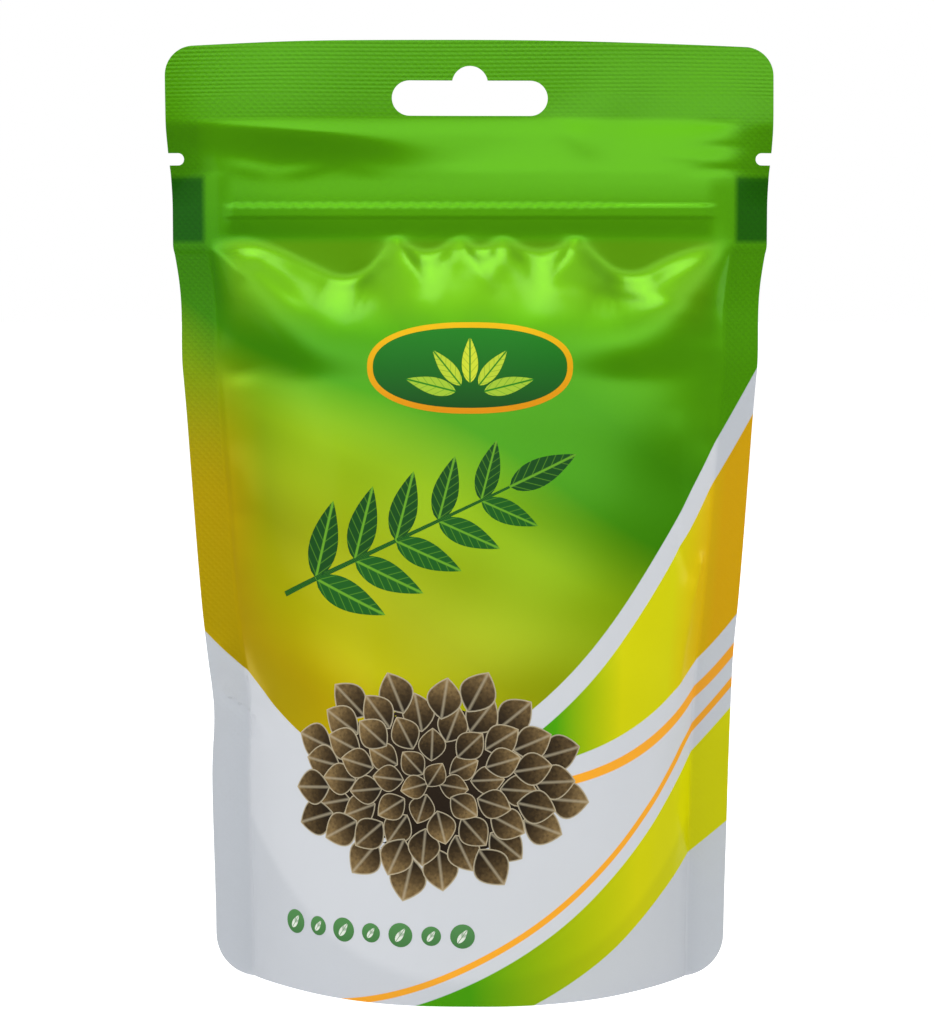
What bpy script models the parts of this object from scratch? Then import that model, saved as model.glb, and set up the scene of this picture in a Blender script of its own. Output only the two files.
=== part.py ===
"""A stand-up zip pouch of moringa seeds, sealed and standing, in metres with +Z up.

Two printed film walls are welded to each other down both sides and across the top. A third film, the
gusset, is folded in at the bottom and opens into the oval base that the pouch stands on. A press-to-close
zip of two mating strips runs inside the walls near the top, and the seeds lie in the bottom of the bag.

A point of a wall is named by its place on the flat film: across, from the middle line, and up, from the
bottom edge. The walls bulge, and the side edges draw in by as much as the bulge takes up.
"""

import math
import random

import bmesh
import bpy
import numpy as np

# The flat pouch
POUCH_WIDTH = 0.125
POUCH_HEIGHT = 0.200
SIDE_SEAL_WIDTH = 0.008
BAG_HALF_WIDTH = POUCH_WIDTH / 2 - SIDE_SEAL_WIDTH
TOP_CORNER_RADIUS = 0.006
BOTTOM_CORNER_RADIUS = 0.009

# The films. Each layer keeps a gap to the next, so that the solids never touch.
FILM_THICKNESS = 0.0003
LAYER_GAP = 0.0003
WALL_OFFSET = (FILM_THICKNESS + LAYER_GAP) / 2

# Half the depth of the full pouch, by height up the film. It is full of seeds to the fourth station,
# holds air above them, and closes quickly just below the zip.
DEPTH_STATIONS = (
    (0.000, 0.0254),
    (0.012, 0.0253),
    (0.032, 0.0247),
    (0.052, 0.0240),
    (0.064, 0.0231),
    (0.080, 0.0206),
    (0.118, 0.0148),
    (0.138, 0.0116),
    (0.146, 0.0094),
    (0.151, 0.0066),
    (0.155, 0.0038),
    (0.158, 0.0018),
    (0.172, 0.0018),
    (0.177, 0.0021),
    (0.182, 0.0008),
    (0.184, 0.0),
    (0.200, 0.0),
)
# How square the bulge is across the film: the body is a soft curve, and the zip holds the walls flat.
BODY_SQUARENESS = 2.5
ZIP_SQUARENESS = 24.0
SQUARENESS_BLEND = (0.146, 0.158)
# How far the side seals turn back, by height up the film.
SEAL_TURN_STATIONS = (
    (0.000, 0.0),
    (0.050, 0.0),
    (0.075, math.radians(16)),
    (0.165, math.radians(24)),
    (0.186, math.radians(4)),
    (0.200, 0.0),
)

# Where the two walls have their rows and columns of points, from the flat film's lines and welds
WALL_ROWS = (
    0.0, 0.004, 0.009, 0.016, 0.024, 0.033, 0.042, 0.051, 0.058, 0.065, 0.073, 0.083, 0.095, 0.107,
    0.119, 0.130, 0.139, 0.146, 0.151, 0.154, 0.156, 0.158, 0.165, 0.172, 0.177, 0.180, 0.184, 0.192, 0.200,
)
WALL_HALF_COLUMNS = (
    0.0, 0.007, 0.014, 0.021, 0.0275, 0.0335, 0.039, 0.044, 0.048, 0.0515, BAG_HALF_WIDTH, 0.0585,
    POUCH_WIDTH / 2,
)

# The hang hole: a round-ended slot with a round notch in the middle of its upper side
SLOT_LENGTH = 0.032
SLOT_HEIGHT = 0.0072
SLOT_MIDDLE_FROM_TOP = 0.0119
HUMP_RADIUS = 0.0037
HUMP_RISE = 0.0030

# The tear notches
NOTCH_FROM_TOP = 0.0243
NOTCH_DEPTH = 0.0032
NOTCH_HEIGHT = 0.0025

# The gusset: half of its folded film's length, and its weld to the walls, low in the middle and as high
# as the fold at the sides
GUSSET_HALF_LENGTH = 0.035
GUSSET_WELD_LOW = 0.005
GUSSET_WELD_POWER = 2.2
GUSSET_DROP = 0.009
GUSSET_REACH = 0.985
GUSSET_FLAT_SHARE = 0.4
GUSSET_COLUMNS = 26
GUSSET_FLOOR_STEPS = 6
GUSSET_LEG_STEPS = 3

# The zip strips: a flange welded to each wall, with a grooved track on one and a ridge on the other
ZIP_CENTRE = 0.165
ZIP_FLANGE_HEIGHT = 0.013
ZIP_HALF_LENGTH = 0.0485
ZIP_FLANGE_BACK = 0.00155
ZIP_FLANGE_FRONT = 0.00125

# The seeds
SEED_RADIUS = 0.0044
SEED_RIDGE = 0.16
SEED_SIDES = 6
SEED_RINGS = 4
SEED_SPACING = 0.0088
FILL_LEVEL = 0.050
FILL_CLEARANCE = 0.0009
CORE_INSET = 0.0048
CORE_SIDES = 28
CORE_CORNER = 0.6
# The heap's core: its half length at each height, as a share of the bag's half chord
CORE_STATIONS = ((0.0115, 0.26), (0.016, 0.46), (0.024, 0.70), (0.034, 0.84), (0.048, 0.86))
SEED_DRAW = 20

CIRCLE_STEPS = 10
SECTION_STEPS = 600
CHORD_ROUNDS = 12
CUTTER_HALF_DEPTH = 0.014
WELD_DISTANCE = 0.00001


def clear_scene():
    for thing in list(bpy.data.objects):
        bpy.data.objects.remove(thing, do_unlink=True)


def new_collection(name):
    collection = bpy.data.collections.new(name)
    bpy.context.scene.collection.children.link(collection)
    return collection


def material(name, colour, roughness, metallic=0.0):
    made = bpy.data.materials.new(name)
    made.use_nodes = True
    shader = made.node_tree.nodes["Principled BSDF"]
    shader.inputs["Base Color"].default_value = (*colour, 1.0)
    shader.inputs["Roughness"].default_value = roughness
    shader.inputs["Metallic"].default_value = metallic
    made.diffuse_color = (*colour, 1.0)
    return made


def smooth_through(stations, at):
    """A curve through the stations that never overshoots them: a cubic whose slope at each station is the
    harmonic mean of the slopes on its two sides."""
    along, value = np.array(stations).T
    slope = np.diff(value) / np.diff(along)
    before, after = slope[:-1], slope[1:]
    turning = before * after <= 0
    total = np.where(turning, 1.0, before + after)
    tangent = np.concatenate(([0.0], np.where(turning, 0.0, 2 * before * after / total), [0.0]))
    at = np.clip(np.asarray(at, float), along[0], along[-1])
    index = np.clip(np.searchsorted(along, at, side="right") - 1, 0, len(along) - 2)
    span = along[index + 1] - along[index]
    t = (at - along[index]) / span
    start = (1 + 2 * t) * (1 - t) ** 2 * value[index] + t * (1 - t) ** 2 * span * tangent[index]
    end = t**2 * (3 - 2 * t) * value[index + 1] + t**2 * (t - 1) * span * tangent[index + 1]
    return start + end


def depth_at(up):
    return smooth_through(DEPTH_STATIONS, up)


def height_at(up):
    """The height above the ground of a line across the film: the film's length less what its slope takes."""
    fine = np.linspace(0, POUCH_HEIGHT, SECTION_STEPS + 1)
    rise = np.sqrt(np.diff(fine) ** 2 - np.diff(depth_at(fine)) ** 2)
    return np.interp(up, fine, np.concatenate(([0.0], np.cumsum(rise))))


def squareness_at(up):
    low, high = SQUARENESS_BLEND
    share = float(np.clip((up - low) / (high - low), 0, 1))
    return BODY_SQUARENESS + (ZIP_SQUARENESS - BODY_SQUARENESS) * share * share


def half_section(up):
    """Half of a level section through the front wall: (distance along the film, x, bulge) from the middle
    line to the side seal. The bulge falls off as a power of x, and the half chord is found that makes the
    curve as long as the film."""
    depth, power = float(depth_at(up)), squareness_at(up)
    share = np.linspace(0, 1, SECTION_STEPS)
    bulge = depth * (1 - share**power)
    half_chord = BAG_HALF_WIDTH
    for _ in range(CHORD_ROUNDS):
        steps = np.hypot(np.diff(share * half_chord), np.diff(bulge))
        length = np.concatenate(([0.0], np.cumsum(steps)))
        half_chord *= BAG_HALF_WIDTH / length[-1]
    return length * BAG_HALF_WIDTH / length[-1], share * half_chord, bulge


def wall_line(across, up, side):
    """Points (x, y, z) of a wall's middle surface at these places across the film, at one height up it.
    side is -1 for the front wall and 1 for the back."""
    length, x, bulge = half_section(up)
    turn = float(smooth_through(SEAL_TURN_STATIONS, up))
    on_bag = np.minimum(np.abs(across), BAG_HALF_WIDTH)
    on_seal = np.abs(across) - on_bag
    out = np.interp(on_bag, length, x) + on_seal * math.cos(turn)
    forward = WALL_OFFSET + np.interp(on_bag, length, bulge)
    z = np.full_like(out, float(height_at(up)))
    return np.column_stack((np.sign(across) * out, side * forward + on_seal * math.sin(turn), z))


def grid_sheet(name, columns, rows, place):
    """A grid primitive whose points are moved to place(column, row)."""
    work = bmesh.new()
    bmesh.ops.create_grid(work, x_segments=columns, y_segments=rows, size=1.0)
    for vert in work.verts:
        column = round((vert.co.x + 1) / 2 * columns)
        row = round((vert.co.y + 1) / 2 * rows)
        vert.co = place(column, row)
    mesh = bpy.data.meshes.new(name)
    work.to_mesh(mesh)
    work.free()
    return bpy.data.objects.new(name, mesh)


def thicken(sheet, thickness=FILM_THICKNESS):
    solid = sheet.modifiers.new("film", "SOLIDIFY")
    solid.thickness = thickness
    solid.offset = 0.0
    solid.use_even_offset = True
    solid.use_quality_normals = True


def cut(thing, cutters):
    boolean = thing.modifiers.new("trim", "BOOLEAN")
    boolean.operation = "DIFFERENCE"
    boolean.operand_type = "COLLECTION"
    boolean.collection = cutters


def finish(thing, collection, look):
    thing.data.materials.append(look)
    thing.data.shade_smooth()
    collection.objects.link(thing)


def arc(centre_x, centre_z, radius, start, end, steps=CIRCLE_STEPS):
    """Points round an arc, from one angle in degrees to another."""
    angles = np.radians(np.linspace(start, end, steps + 1))
    return [(centre_x + radius * math.cos(a), centre_z + radius * math.sin(a)) for a in angles]


def prism(name, outline, half_length, collection, along_x=False):
    """A flat outline extruded both ways: in the X-Z plane along Y, or in the Y-Z plane along X."""
    curve = bpy.data.curves.new(name, "CURVE")
    curve.dimensions = "2D"
    curve.fill_mode = "BOTH"
    curve.extrude = half_length
    spline = curve.splines.new("POLY")
    spline.points.add(len(outline) - 1)
    spline.points.foreach_set("co", [value for x, z in outline for value in (x, z, 0.0, 1.0)])
    spline.use_cyclic_u = True
    guide = bpy.data.objects.new(name + "_outline", curve)
    guide.rotation_euler = (math.pi / 2, 0, math.pi / 2 if along_x else 0)
    bpy.context.scene.collection.objects.link(guide)
    bpy.context.view_layer.update()
    graph = bpy.context.evaluated_depsgraph_get()
    mesh = bpy.data.meshes.new_from_object(guide.evaluated_get(graph))
    work = bmesh.new()
    work.from_mesh(mesh)
    bmesh.ops.remove_doubles(work, verts=work.verts, dist=WELD_DISTANCE)
    bmesh.ops.recalc_face_normals(work, faces=work.faces)
    work.to_mesh(mesh)
    work.free()
    made = bpy.data.objects.new(name, mesh)
    made.matrix_world = guide.matrix_world
    bpy.data.objects.remove(guide)
    collection.objects.link(made)
    return made


def hang_hole_outline(top):
    """A stadium with a round hump on its upper side, anticlockwise from its right end."""
    half, radius = SLOT_LENGTH / 2 - SLOT_HEIGHT / 2, SLOT_HEIGHT / 2
    middle = top - SLOT_MIDDLE_FROM_TOP
    hump_centre = middle + radius + HUMP_RISE - HUMP_RADIUS
    dip = math.degrees(math.asin((HUMP_RADIUS - HUMP_RISE) / HUMP_RADIUS))
    right = arc(half, middle, radius, -90, 90)
    hump = arc(0, hump_centre, HUMP_RADIUS, dip, 180 - dip)
    left = arc(-half, middle, radius, 90, 270)
    return right + hump + left


def notch_outline(side, top, edge):
    """A round-ended slot let in from a side edge."""
    radius, middle = NOTCH_HEIGHT / 2, top - NOTCH_FROM_TOP
    inner = edge - NOTCH_DEPTH + radius
    beyond = edge + NOTCH_DEPTH
    points = [*arc(inner, middle, radius, 90, 270), (beyond, middle - radius), (beyond, middle + radius)]
    return [(side * x, z) for x, z in points]


def corner_outline(side, edge, level, radius, upward):
    """What a rounded corner leaves over of a square one, taken a little past both edges."""
    sign = 1 if upward else -1
    beyond = radius / 4
    centre_x, centre_z = edge - radius, level - sign * radius
    curve = [(centre_x + x, centre_z + sign * z) for x, z in arc(0, 0, radius, 0, 90)]
    outer = [
        (centre_x, level + sign * beyond),
        (edge + beyond, level + sign * beyond),
        (edge + beyond, centre_z),
    ]
    return [(side * x, z) for x, z in curve + outer]


def make_cutters(collection):
    top = float(height_at(POUCH_HEIGHT))
    bottom_edge = float(wall_line(np.array([POUCH_WIDTH / 2]), BOTTOM_CORNER_RADIUS / 2, -1)[0, 0])
    notch_edge = float(wall_line(np.array([POUCH_WIDTH / 2]), POUCH_HEIGHT - NOTCH_FROM_TOP, -1)[0, 0])
    outlines = {"hang_hole_cutter": hang_hole_outline(top)}
    for side, word in ((-1, "left"), (1, "right")):
        outlines[f"tear_notch_cutter_{word}"] = notch_outline(side, top, notch_edge)
        outlines[f"top_corner_cutter_{word}"] = corner_outline(
            side, POUCH_WIDTH / 2, top, TOP_CORNER_RADIUS, True
        )
        outlines[f"bottom_corner_cutter_{word}"] = corner_outline(
            side, bottom_edge, 0.0, BOTTOM_CORNER_RADIUS, False
        )
    for name, outline in outlines.items():
        cutter = prism(name, outline, CUTTER_HALF_DEPTH, collection)
        cutter.hide_render = True
        cutter.display_type = "WIRE"


def make_wall(name, side, collection, cutters, look):
    """One printed wall with its share of the seals, trimmed to the pouch's outline."""
    half = np.array(WALL_HALF_COLUMNS)
    across = np.concatenate((-half[:0:-1], half)) * -side
    lines = [wall_line(across, up, side) for up in WALL_ROWS]
    wall = grid_sheet(name, len(across) - 1, len(WALL_ROWS) - 1, lambda column, row: lines[row][column])
    thicken(wall)
    cut(wall, cutters)
    finish(wall, collection, look)


def gusset_line(across):
    """One section of the gusset from front to back: up the inside of the front wall to the weld's edge,
    over the floor, and down the inside of the back wall."""
    share = abs(across) / BAG_HALF_WIDTH
    weld = GUSSET_WELD_LOW + (GUSSET_HALF_LENGTH - GUSSET_WELD_LOW) * share**GUSSET_WELD_POWER
    floor = max(0.0, weld - GUSSET_DROP * (1 - share**4)) + FILM_THICKNESS / 2
    inward = FILM_THICKNESS + LAYER_GAP
    leg = []
    for up in np.linspace(0, weld, GUSSET_LEG_STEPS + 1):
        x, y, z = wall_line(np.array([across]), up, -1)[0]
        leg.append((x, y + inward, z))
    edge_x, edge_y, edge_z = leg[-1]
    half_floor = []
    for step in range(1, GUSSET_FLOOR_STEPS + 1):
        reach = 1 - step / GUSSET_FLOOR_STEPS
        lift = max(0.0, (reach - GUSSET_FLAT_SHARE) / (1 - GUSSET_FLAT_SHARE)) ** 2
        half_floor.append((edge_x, edge_y * reach, floor + (edge_z - floor) * lift))
    front = leg + half_floor
    back = [(x, -y, z) for x, y, z in reversed(front[:-1])]
    return front + back


def make_gusset(collection, look):
    across = np.linspace(-1, 1, GUSSET_COLUMNS + 1) * BAG_HALF_WIDTH * GUSSET_REACH
    lines = [gusset_line(value) for value in across]
    rows = len(lines[0]) - 1
    gusset = grid_sheet("bottom_gusset", GUSSET_COLUMNS, rows, lambda column, row: lines[column][row])
    thicken(gusset)
    finish(gusset, collection, look)


def groove_outline():
    """The front strip's section, as (y, z) about the zip's centre: the flange and two hooked lips."""
    lip_outer, lip_inner, hook, rim, under = 0.0015, 0.0011, 0.00075, 0.00025, -0.00005
    half = ZIP_FLANGE_HEIGHT / 2
    upper = [
        (-ZIP_FLANGE_BACK, half),
        (-ZIP_FLANGE_FRONT, half),
        (-ZIP_FLANGE_FRONT, lip_outer),
        (rim, lip_outer),
        (rim, hook),
        (under, hook),
        (under, lip_inner),
        (-ZIP_FLANGE_FRONT, lip_inner),
    ]
    return upper + [(y, -z) for y, z in reversed(upper)]


def ridge_outline():
    """The back strip's section, as (y, z) about the zip's centre: the flange and an arrow-headed ridge."""
    stem, head, tip, neck, shoulder, point = 0.0004, 0.00085, 0.00035, -0.00035, -0.0006, -0.00095
    half = ZIP_FLANGE_HEIGHT / 2
    upper = [
        (ZIP_FLANGE_BACK, half),
        (ZIP_FLANGE_FRONT, half),
        (ZIP_FLANGE_FRONT, stem),
        (neck, stem),
        (neck, head),
        (shoulder, head),
        (point, tip),
    ]
    return upper + [(y, -z) for y, z in reversed(upper)]


def make_zip_strip(name, outline, collection, look):
    level = float(height_at(ZIP_CENTRE))
    placed = [(y, z + level) for y, z in outline]
    strip = prism(name, placed, ZIP_HALF_LENGTH, collection, along_x=True)
    strip.data.materials.append(look)


def seed_mesh():
    """A round seed whose radius swells along three meridians into ridges."""
    work = bmesh.new()
    bmesh.ops.create_uvsphere(work, u_segments=SEED_SIDES, v_segments=SEED_RINGS, radius=SEED_RADIUS)
    for vert in work.verts:
        angle = math.atan2(vert.co.y, vert.co.x)
        swell = 1 + SEED_RIDGE * math.cos(3 * angle)
        vert.co.x *= swell
        vert.co.y *= swell
    mesh = bpy.data.meshes.new("seed")
    work.to_mesh(mesh)
    work.free()
    return mesh


def fill_half_depth(x, up):
    """Half the depth that the seeds may fill at this x, at this height up the film."""
    _, line, bulge = half_section(up)
    return float(np.interp(abs(x), line, bulge)) - FILL_CLEARANCE


def seed_places(draw):
    """Centres of the seeds that show: rows against both walls, and the top of the heap. Each is moved a
    little at random, and one that a wall or the gusset would touch is left out."""
    reach = SEED_RADIUS * (1 + SEED_RIDGE) + FILL_CLEARANCE
    wander = SEED_SPACING * 0.05
    places = []
    rows = int(FILL_LEVEL / SEED_SPACING)
    for row in range(rows):
        up = FILL_LEVEL - row * SEED_SPACING * 0.95
        shift = SEED_SPACING / 2 * (row % 2)
        steps = np.arange(-BAG_HALF_WIDTH, BAG_HALF_WIDTH, SEED_SPACING) + shift
        for x in steps:
            if abs(x) > core_reach(up) + SEED_RADIUS * 0.3:
                continue
            depth = fill_half_depth(x, up)
            layers = [depth - reach]
            if row == 0:
                layers = list(np.arange(depth - reach, 0, -SEED_SPACING))
            for y in layers:
                if y < SEED_RADIUS * 0.55 and row > 0:
                    continue
                for side in (-1, 1):
                    jitter = [draw.uniform(-wander, wander) for _ in range(3)]
                    place = (x + jitter[0], side * (y - abs(jitter[1])), float(height_at(up)) + jitter[2])
                    if clear_of_gusset(place, reach):
                        places.append(place)
    return places


def clear_of_gusset(place, reach):
    x, _, z = place
    length, line, _ = half_section(GUSSET_WELD_LOW)
    across = float(np.interp(abs(x), line, length))
    share = across / BAG_HALF_WIDTH
    weld = GUSSET_WELD_LOW + (GUSSET_HALF_LENGTH - GUSSET_WELD_LOW) * share**GUSSET_WELD_POWER
    return z - reach > weld + FILM_THICKNESS


def squared(value):
    """A sine or cosine that follows a square-cornered oval."""
    return math.copysign(abs(value) ** CORE_CORNER, value)


def core_reach(up):
    """Half the length of the heap's core at this height."""
    levels, shares = np.array(CORE_STATIONS).T
    return float(half_section(FILL_LEVEL)[1][-1]) * float(np.interp(up, levels, shares))


def make_core():
    """The inside of the heap, which the seeds stand out of: an oval block, narrow at its foot, that keeps
    clear of the walls and the gusset."""
    rings = []
    for up, _ in CORE_STATIONS:
        reach = core_reach(up)
        middle = fill_half_depth(0, up) - CORE_INSET
        angles = np.linspace(0, 2 * math.pi, CORE_SIDES, endpoint=False)
        ring = []
        for angle in angles:
            x = reach * squared(math.cos(angle))
            room = fill_half_depth(x, up) - CORE_INSET
            ring.append((x, squared(math.sin(angle)) * min(middle, room), float(height_at(up))))
        rings.append(ring)
    work = bmesh.new()
    loops = [[work.verts.new(point) for point in ring] for ring in rings]
    for low, high in zip(loops, loops[1:]):
        for index in range(CORE_SIDES):
            after = (index + 1) % CORE_SIDES
            work.faces.new((low[index], low[after], high[after], high[index]))
    work.faces.new(reversed(loops[0]))
    work.faces.new(loops[-1])
    bmesh.ops.recalc_face_normals(work, faces=work.faces)
    mesh = bpy.data.meshes.new("seeds")
    work.to_mesh(mesh)
    work.free()
    return bpy.data.objects.new("seeds", mesh)


def make_seeds(collection, look):
    draw = random.Random(SEED_DRAW)
    heap = make_core()
    finish(heap, collection, look)
    loose = new_collection("loose_seeds")
    shape = seed_mesh()
    for index, place in enumerate(seed_places(draw)):
        seed = bpy.data.objects.new(f"loose_seed_{index}", shape)
        seed.location = place
        seed.rotation_euler = [draw.uniform(0, 2 * math.pi) for _ in range(3)]
        loose.objects.link(seed)
    union = heap.modifiers.new("heap", "BOOLEAN")
    union.operation = "UNION"
    union.operand_type = "COLLECTION"
    union.collection = loose
    union.solver = "MANIFOLD"
    bpy.context.view_layer.update()
    graph = bpy.context.evaluated_depsgraph_get()
    joined = bpy.data.meshes.new_from_object(heap.evaluated_get(graph))
    heap.modifiers.clear()
    heap.data = joined
    heap.data.shade_flat()
    for seed in list(loose.objects):
        bpy.data.objects.remove(seed, do_unlink=True)
    bpy.data.collections.remove(loose)


def main():
    clear_scene()
    pouch = new_collection("stand_up_pouch")
    cutters = new_collection("cutters")
    front_film = material("printed_film_front", (0.30, 0.62, 0.03), 0.32)
    back_film = material("printed_film_back", (0.30, 0.62, 0.03), 0.32)
    base_film = material("plain_film", (0.72, 0.73, 0.78), 0.35)
    zip_plastic = material("zip_polyethylene", (0.78, 0.80, 0.80), 0.45)
    seed_coat = material("seed_coat", (0.14, 0.085, 0.045), 0.75)
    make_cutters(cutters)
    make_wall("front_wall", -1, pouch, cutters, front_film)
    make_wall("back_wall", 1, pouch, cutters, back_film)
    make_gusset(pouch, base_film)
    make_zip_strip("zip_groove_strip", groove_outline(), pouch, zip_plastic)
    make_zip_strip("zip_ridge_strip", ridge_outline(), pouch, zip_plastic)
    make_seeds(pouch, seed_coat)


main()
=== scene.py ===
"""Dresses the packed stand-up pouch: printed film with its folds and seals, an opened gusset, the zip and
the loose seeds.

A point of a film wall is named by its place on the flat film, in metres: across, from the middle line to
the right as that wall is seen, and up, from the bottom edge. The print, the cuts and the creases all
follow the film. Lists of folds and prints are written in millimetres of that flat film.
"""

import math
from functools import partial

import bpy
import numpy as np
from bpy.props import FloatProperty, FloatVectorProperty, IntProperty, PointerProperty
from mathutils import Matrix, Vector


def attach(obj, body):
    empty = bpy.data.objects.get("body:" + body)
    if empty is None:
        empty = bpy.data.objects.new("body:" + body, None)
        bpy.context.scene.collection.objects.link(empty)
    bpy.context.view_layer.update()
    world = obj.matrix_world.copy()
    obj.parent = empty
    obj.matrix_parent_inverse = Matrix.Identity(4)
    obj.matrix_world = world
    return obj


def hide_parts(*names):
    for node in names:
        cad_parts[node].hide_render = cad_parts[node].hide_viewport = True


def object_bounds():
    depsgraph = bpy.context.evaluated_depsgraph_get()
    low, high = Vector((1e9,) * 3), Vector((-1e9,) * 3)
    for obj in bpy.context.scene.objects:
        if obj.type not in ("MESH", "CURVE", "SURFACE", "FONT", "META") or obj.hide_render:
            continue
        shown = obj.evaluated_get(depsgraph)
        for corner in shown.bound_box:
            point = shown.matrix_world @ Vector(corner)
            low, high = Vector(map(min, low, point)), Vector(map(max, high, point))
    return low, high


bl_info = {
    "name": "Stand-up seed pouch",
    "version": (1, 0, 0),
    "blender": (4, 5, 0),
    "location": "View3D > Sidebar > Pouch",
    "description": "Makes a filled stand-up zip pouch of printed film, piece by piece",
    "category": "Add Mesh",
}

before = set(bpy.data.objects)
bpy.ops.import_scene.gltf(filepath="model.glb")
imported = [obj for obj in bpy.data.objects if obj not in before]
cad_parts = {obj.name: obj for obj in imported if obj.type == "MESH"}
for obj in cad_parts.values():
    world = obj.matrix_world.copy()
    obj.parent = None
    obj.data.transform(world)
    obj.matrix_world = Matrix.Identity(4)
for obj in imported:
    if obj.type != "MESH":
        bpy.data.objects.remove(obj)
CAD_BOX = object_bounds()
MM = 0.001

# The flat pouch
POUCH_WIDTH = 125 * MM
POUCH_HEIGHT = 200 * MM
SIDE_SEAL = 8 * MM
BAG_HALF = POUCH_WIDTH / 2 - SIDE_SEAL

# Half the depth of the full pouch, by height up the film: (up, half depth), the same as the solids' but
# for an evener shoulder below the zip and a closer fit above it
DEPTH = (
    (0.000, 0.0254), (0.012, 0.0253), (0.032, 0.0247), (0.052, 0.0240), (0.064, 0.0231), (0.080, 0.0206),
    (0.118, 0.0148), (0.126, 0.0132), (0.133, 0.0114), (0.139, 0.0095), (0.146, 0.0070), (0.150, 0.0054),
    (0.155, 0.0032), (0.158, 0.0018), (0.172, 0.0018), (0.175, 0.0014), (0.180, 0.0007), (0.184, 0.0),
    (0.200, 0.0)
)
BODY_SQUARENESS = 2.5
ZIP_SQUARENESS = 19.0
SQUARENESS_BLEND = (0.129, 0.158)
SEAL_TURN = (
    (0.000, 0.0), (0.050, 0.0), (0.075, math.radians(16)), (0.165, math.radians(24)),
    (0.186, math.radians(4)), (0.200, 0.0)
)
TOP_EDGE_DROOP = 1.2 * MM
HEADER_LEAN = 1.5
HEADER_UPRIGHT = 0.45
DROOP_START = 0.168

# Where the bulge begins below the zip's flange, in mm (across, up): the film hangs there in small tucks
FRONT_TUCKS = (
    (-62.5, 158.8), (-54.5, 158.8), (-46.5, 159.4), (-40.0, 157.2), (-32.0, 152.6), (-24.0, 148.6),
    (-20.5, 152.0), (-15.5, 159.6), (-11.5, 156.4), (-7.5, 156.0), (-2.5, 159.3), (2.0, 156.6),
    (7.0, 159.6), (12.0, 156.4), (17.0, 156.4), (22.0, 159.5), (27.0, 154.0), (32.5, 149.4),
    (38.0, 153.2), (45.0, 156.4), (53.0, 158.6), (62.5, 158.8)
)
BACK_TUCKS = (
    (-62.5, 158.8), (-50.0, 159.2), (-37.0, 152.0), (-28.0, 159.3), (-14.0, 155.6), (-5.0, 159.3),
    (7.0, 155.0), (17.0, 149.8), (27.0, 158.8), (38.0, 155.0), (50.0, 159.0), (62.5, 158.8)
)
TUCK_LEVEL = 158.5
FOLD_TAPS = (-1.0, -0.5, 0.0, 0.5, 1.0)
TUCK_FADE = (98.0, 152.0, 160.5, 168.5)
TUCK_SOFTNESS = 1.2
TUCK_SPREAD = 0.42
TUCK_TAPS = 9
FOLD_RADIUS = 1.6

# Creases: (across, up) of one end and of the other, height, half width, and the radius of the top, in mm.
# A negative height is a valley.
FRONT_CREASES = (
    (-46.0, 158.8, -23.0, 146.5, 0.12, 3.4, 1.8),
    (-53.0, 157.0, -45.0, 149.0, 0.20, 1.0, 0.5),
    (-45.0, 153.0, -33.0, 143.0, -0.30, 2.2, 0.9),
    (-15.5, 159.0, -9.0, 147.5, 0.34, 2.0, 0.8),
    (-15.5, 159.0, -20.0, 149.0, 0.20, 1.8, 0.7),
    (-2.5, 158.8, 4.5, 147.0, 0.34, 1.9, 0.8),
    (7.0, 159.0, 5.0, 149.5, 0.18, 1.8, 0.7),
    (22.0, 159.0, 17.0, 148.0, 0.30, 2.0, 0.8),
    (22.0, 159.0, 27.0, 148.0, 0.20, 1.8, 0.7),
    (53.5, 158.2, 36.0, 147.5, 0.18, 2.6, 1.4),
    (34.0, 146.0, 31.0, 128.0, 0.45, 7.0, 4.0),
    (-53.3, 128.0, -53.3, 78.0, 0.22, 1.1, 0.4),
    (-61.5, 61.5, -47.5, 52.5, 0.75, 1.1, 0.25),
    (-60.0, 67.0, -47.0, 58.5, -0.45, 2.6, 1.2),
    (-60.0, 50.0, -46.0, 51.5, 0.35, 1.0, 0.4),
    (52.5, 90.0, 50.5, 79.0, 0.65, 1.0, 0.3),
    (50.5, 79.5, 48.5, 58.0, 0.35, 1.0, 0.5),
    (45.0, 95.0, 51.5, 84.0, -0.50, 1.8, 0.8),
    (44.0, 120.0, 47.0, 88.0, 0.25, 2.5, 1.2),
    (-48.0, 40.0, -40.0, 4.0, 0.25, 3.5, 1.5),
    (43.0, 52.0, 40.0, 10.0, 0.20, 3.5, 1.5),
    (15.6, 185.0, 27.0, 174.5, 0.22, 1.6, 0.6),
)
BACK_CREASES = (
    (-50.0, 159.0, -38.0, 147.0, 0.20, 2.4, 1.0),
    (-28.0, 159.0, -33.0, 148.0, 0.30, 1.8, 0.6),
    (-5.0, 159.0, 1.0, 148.0, 0.35, 1.8, 0.6),
    (27.0, 159.0, 20.0, 146.0, 0.40, 2.0, 0.6),
    (50.0, 158.5, 39.0, 148.0, 0.20, 2.4, 1.0),
    (53.3, 120.0, 53.3, 70.0, 0.22, 1.1, 0.4),
    (-53.0, 92.0, -50.0, 80.0, 0.35, 0.9, 0.3),
    (60.0, 58.0, 49.0, 50.0, 0.35, 1.0, 0.3),
)
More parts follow.
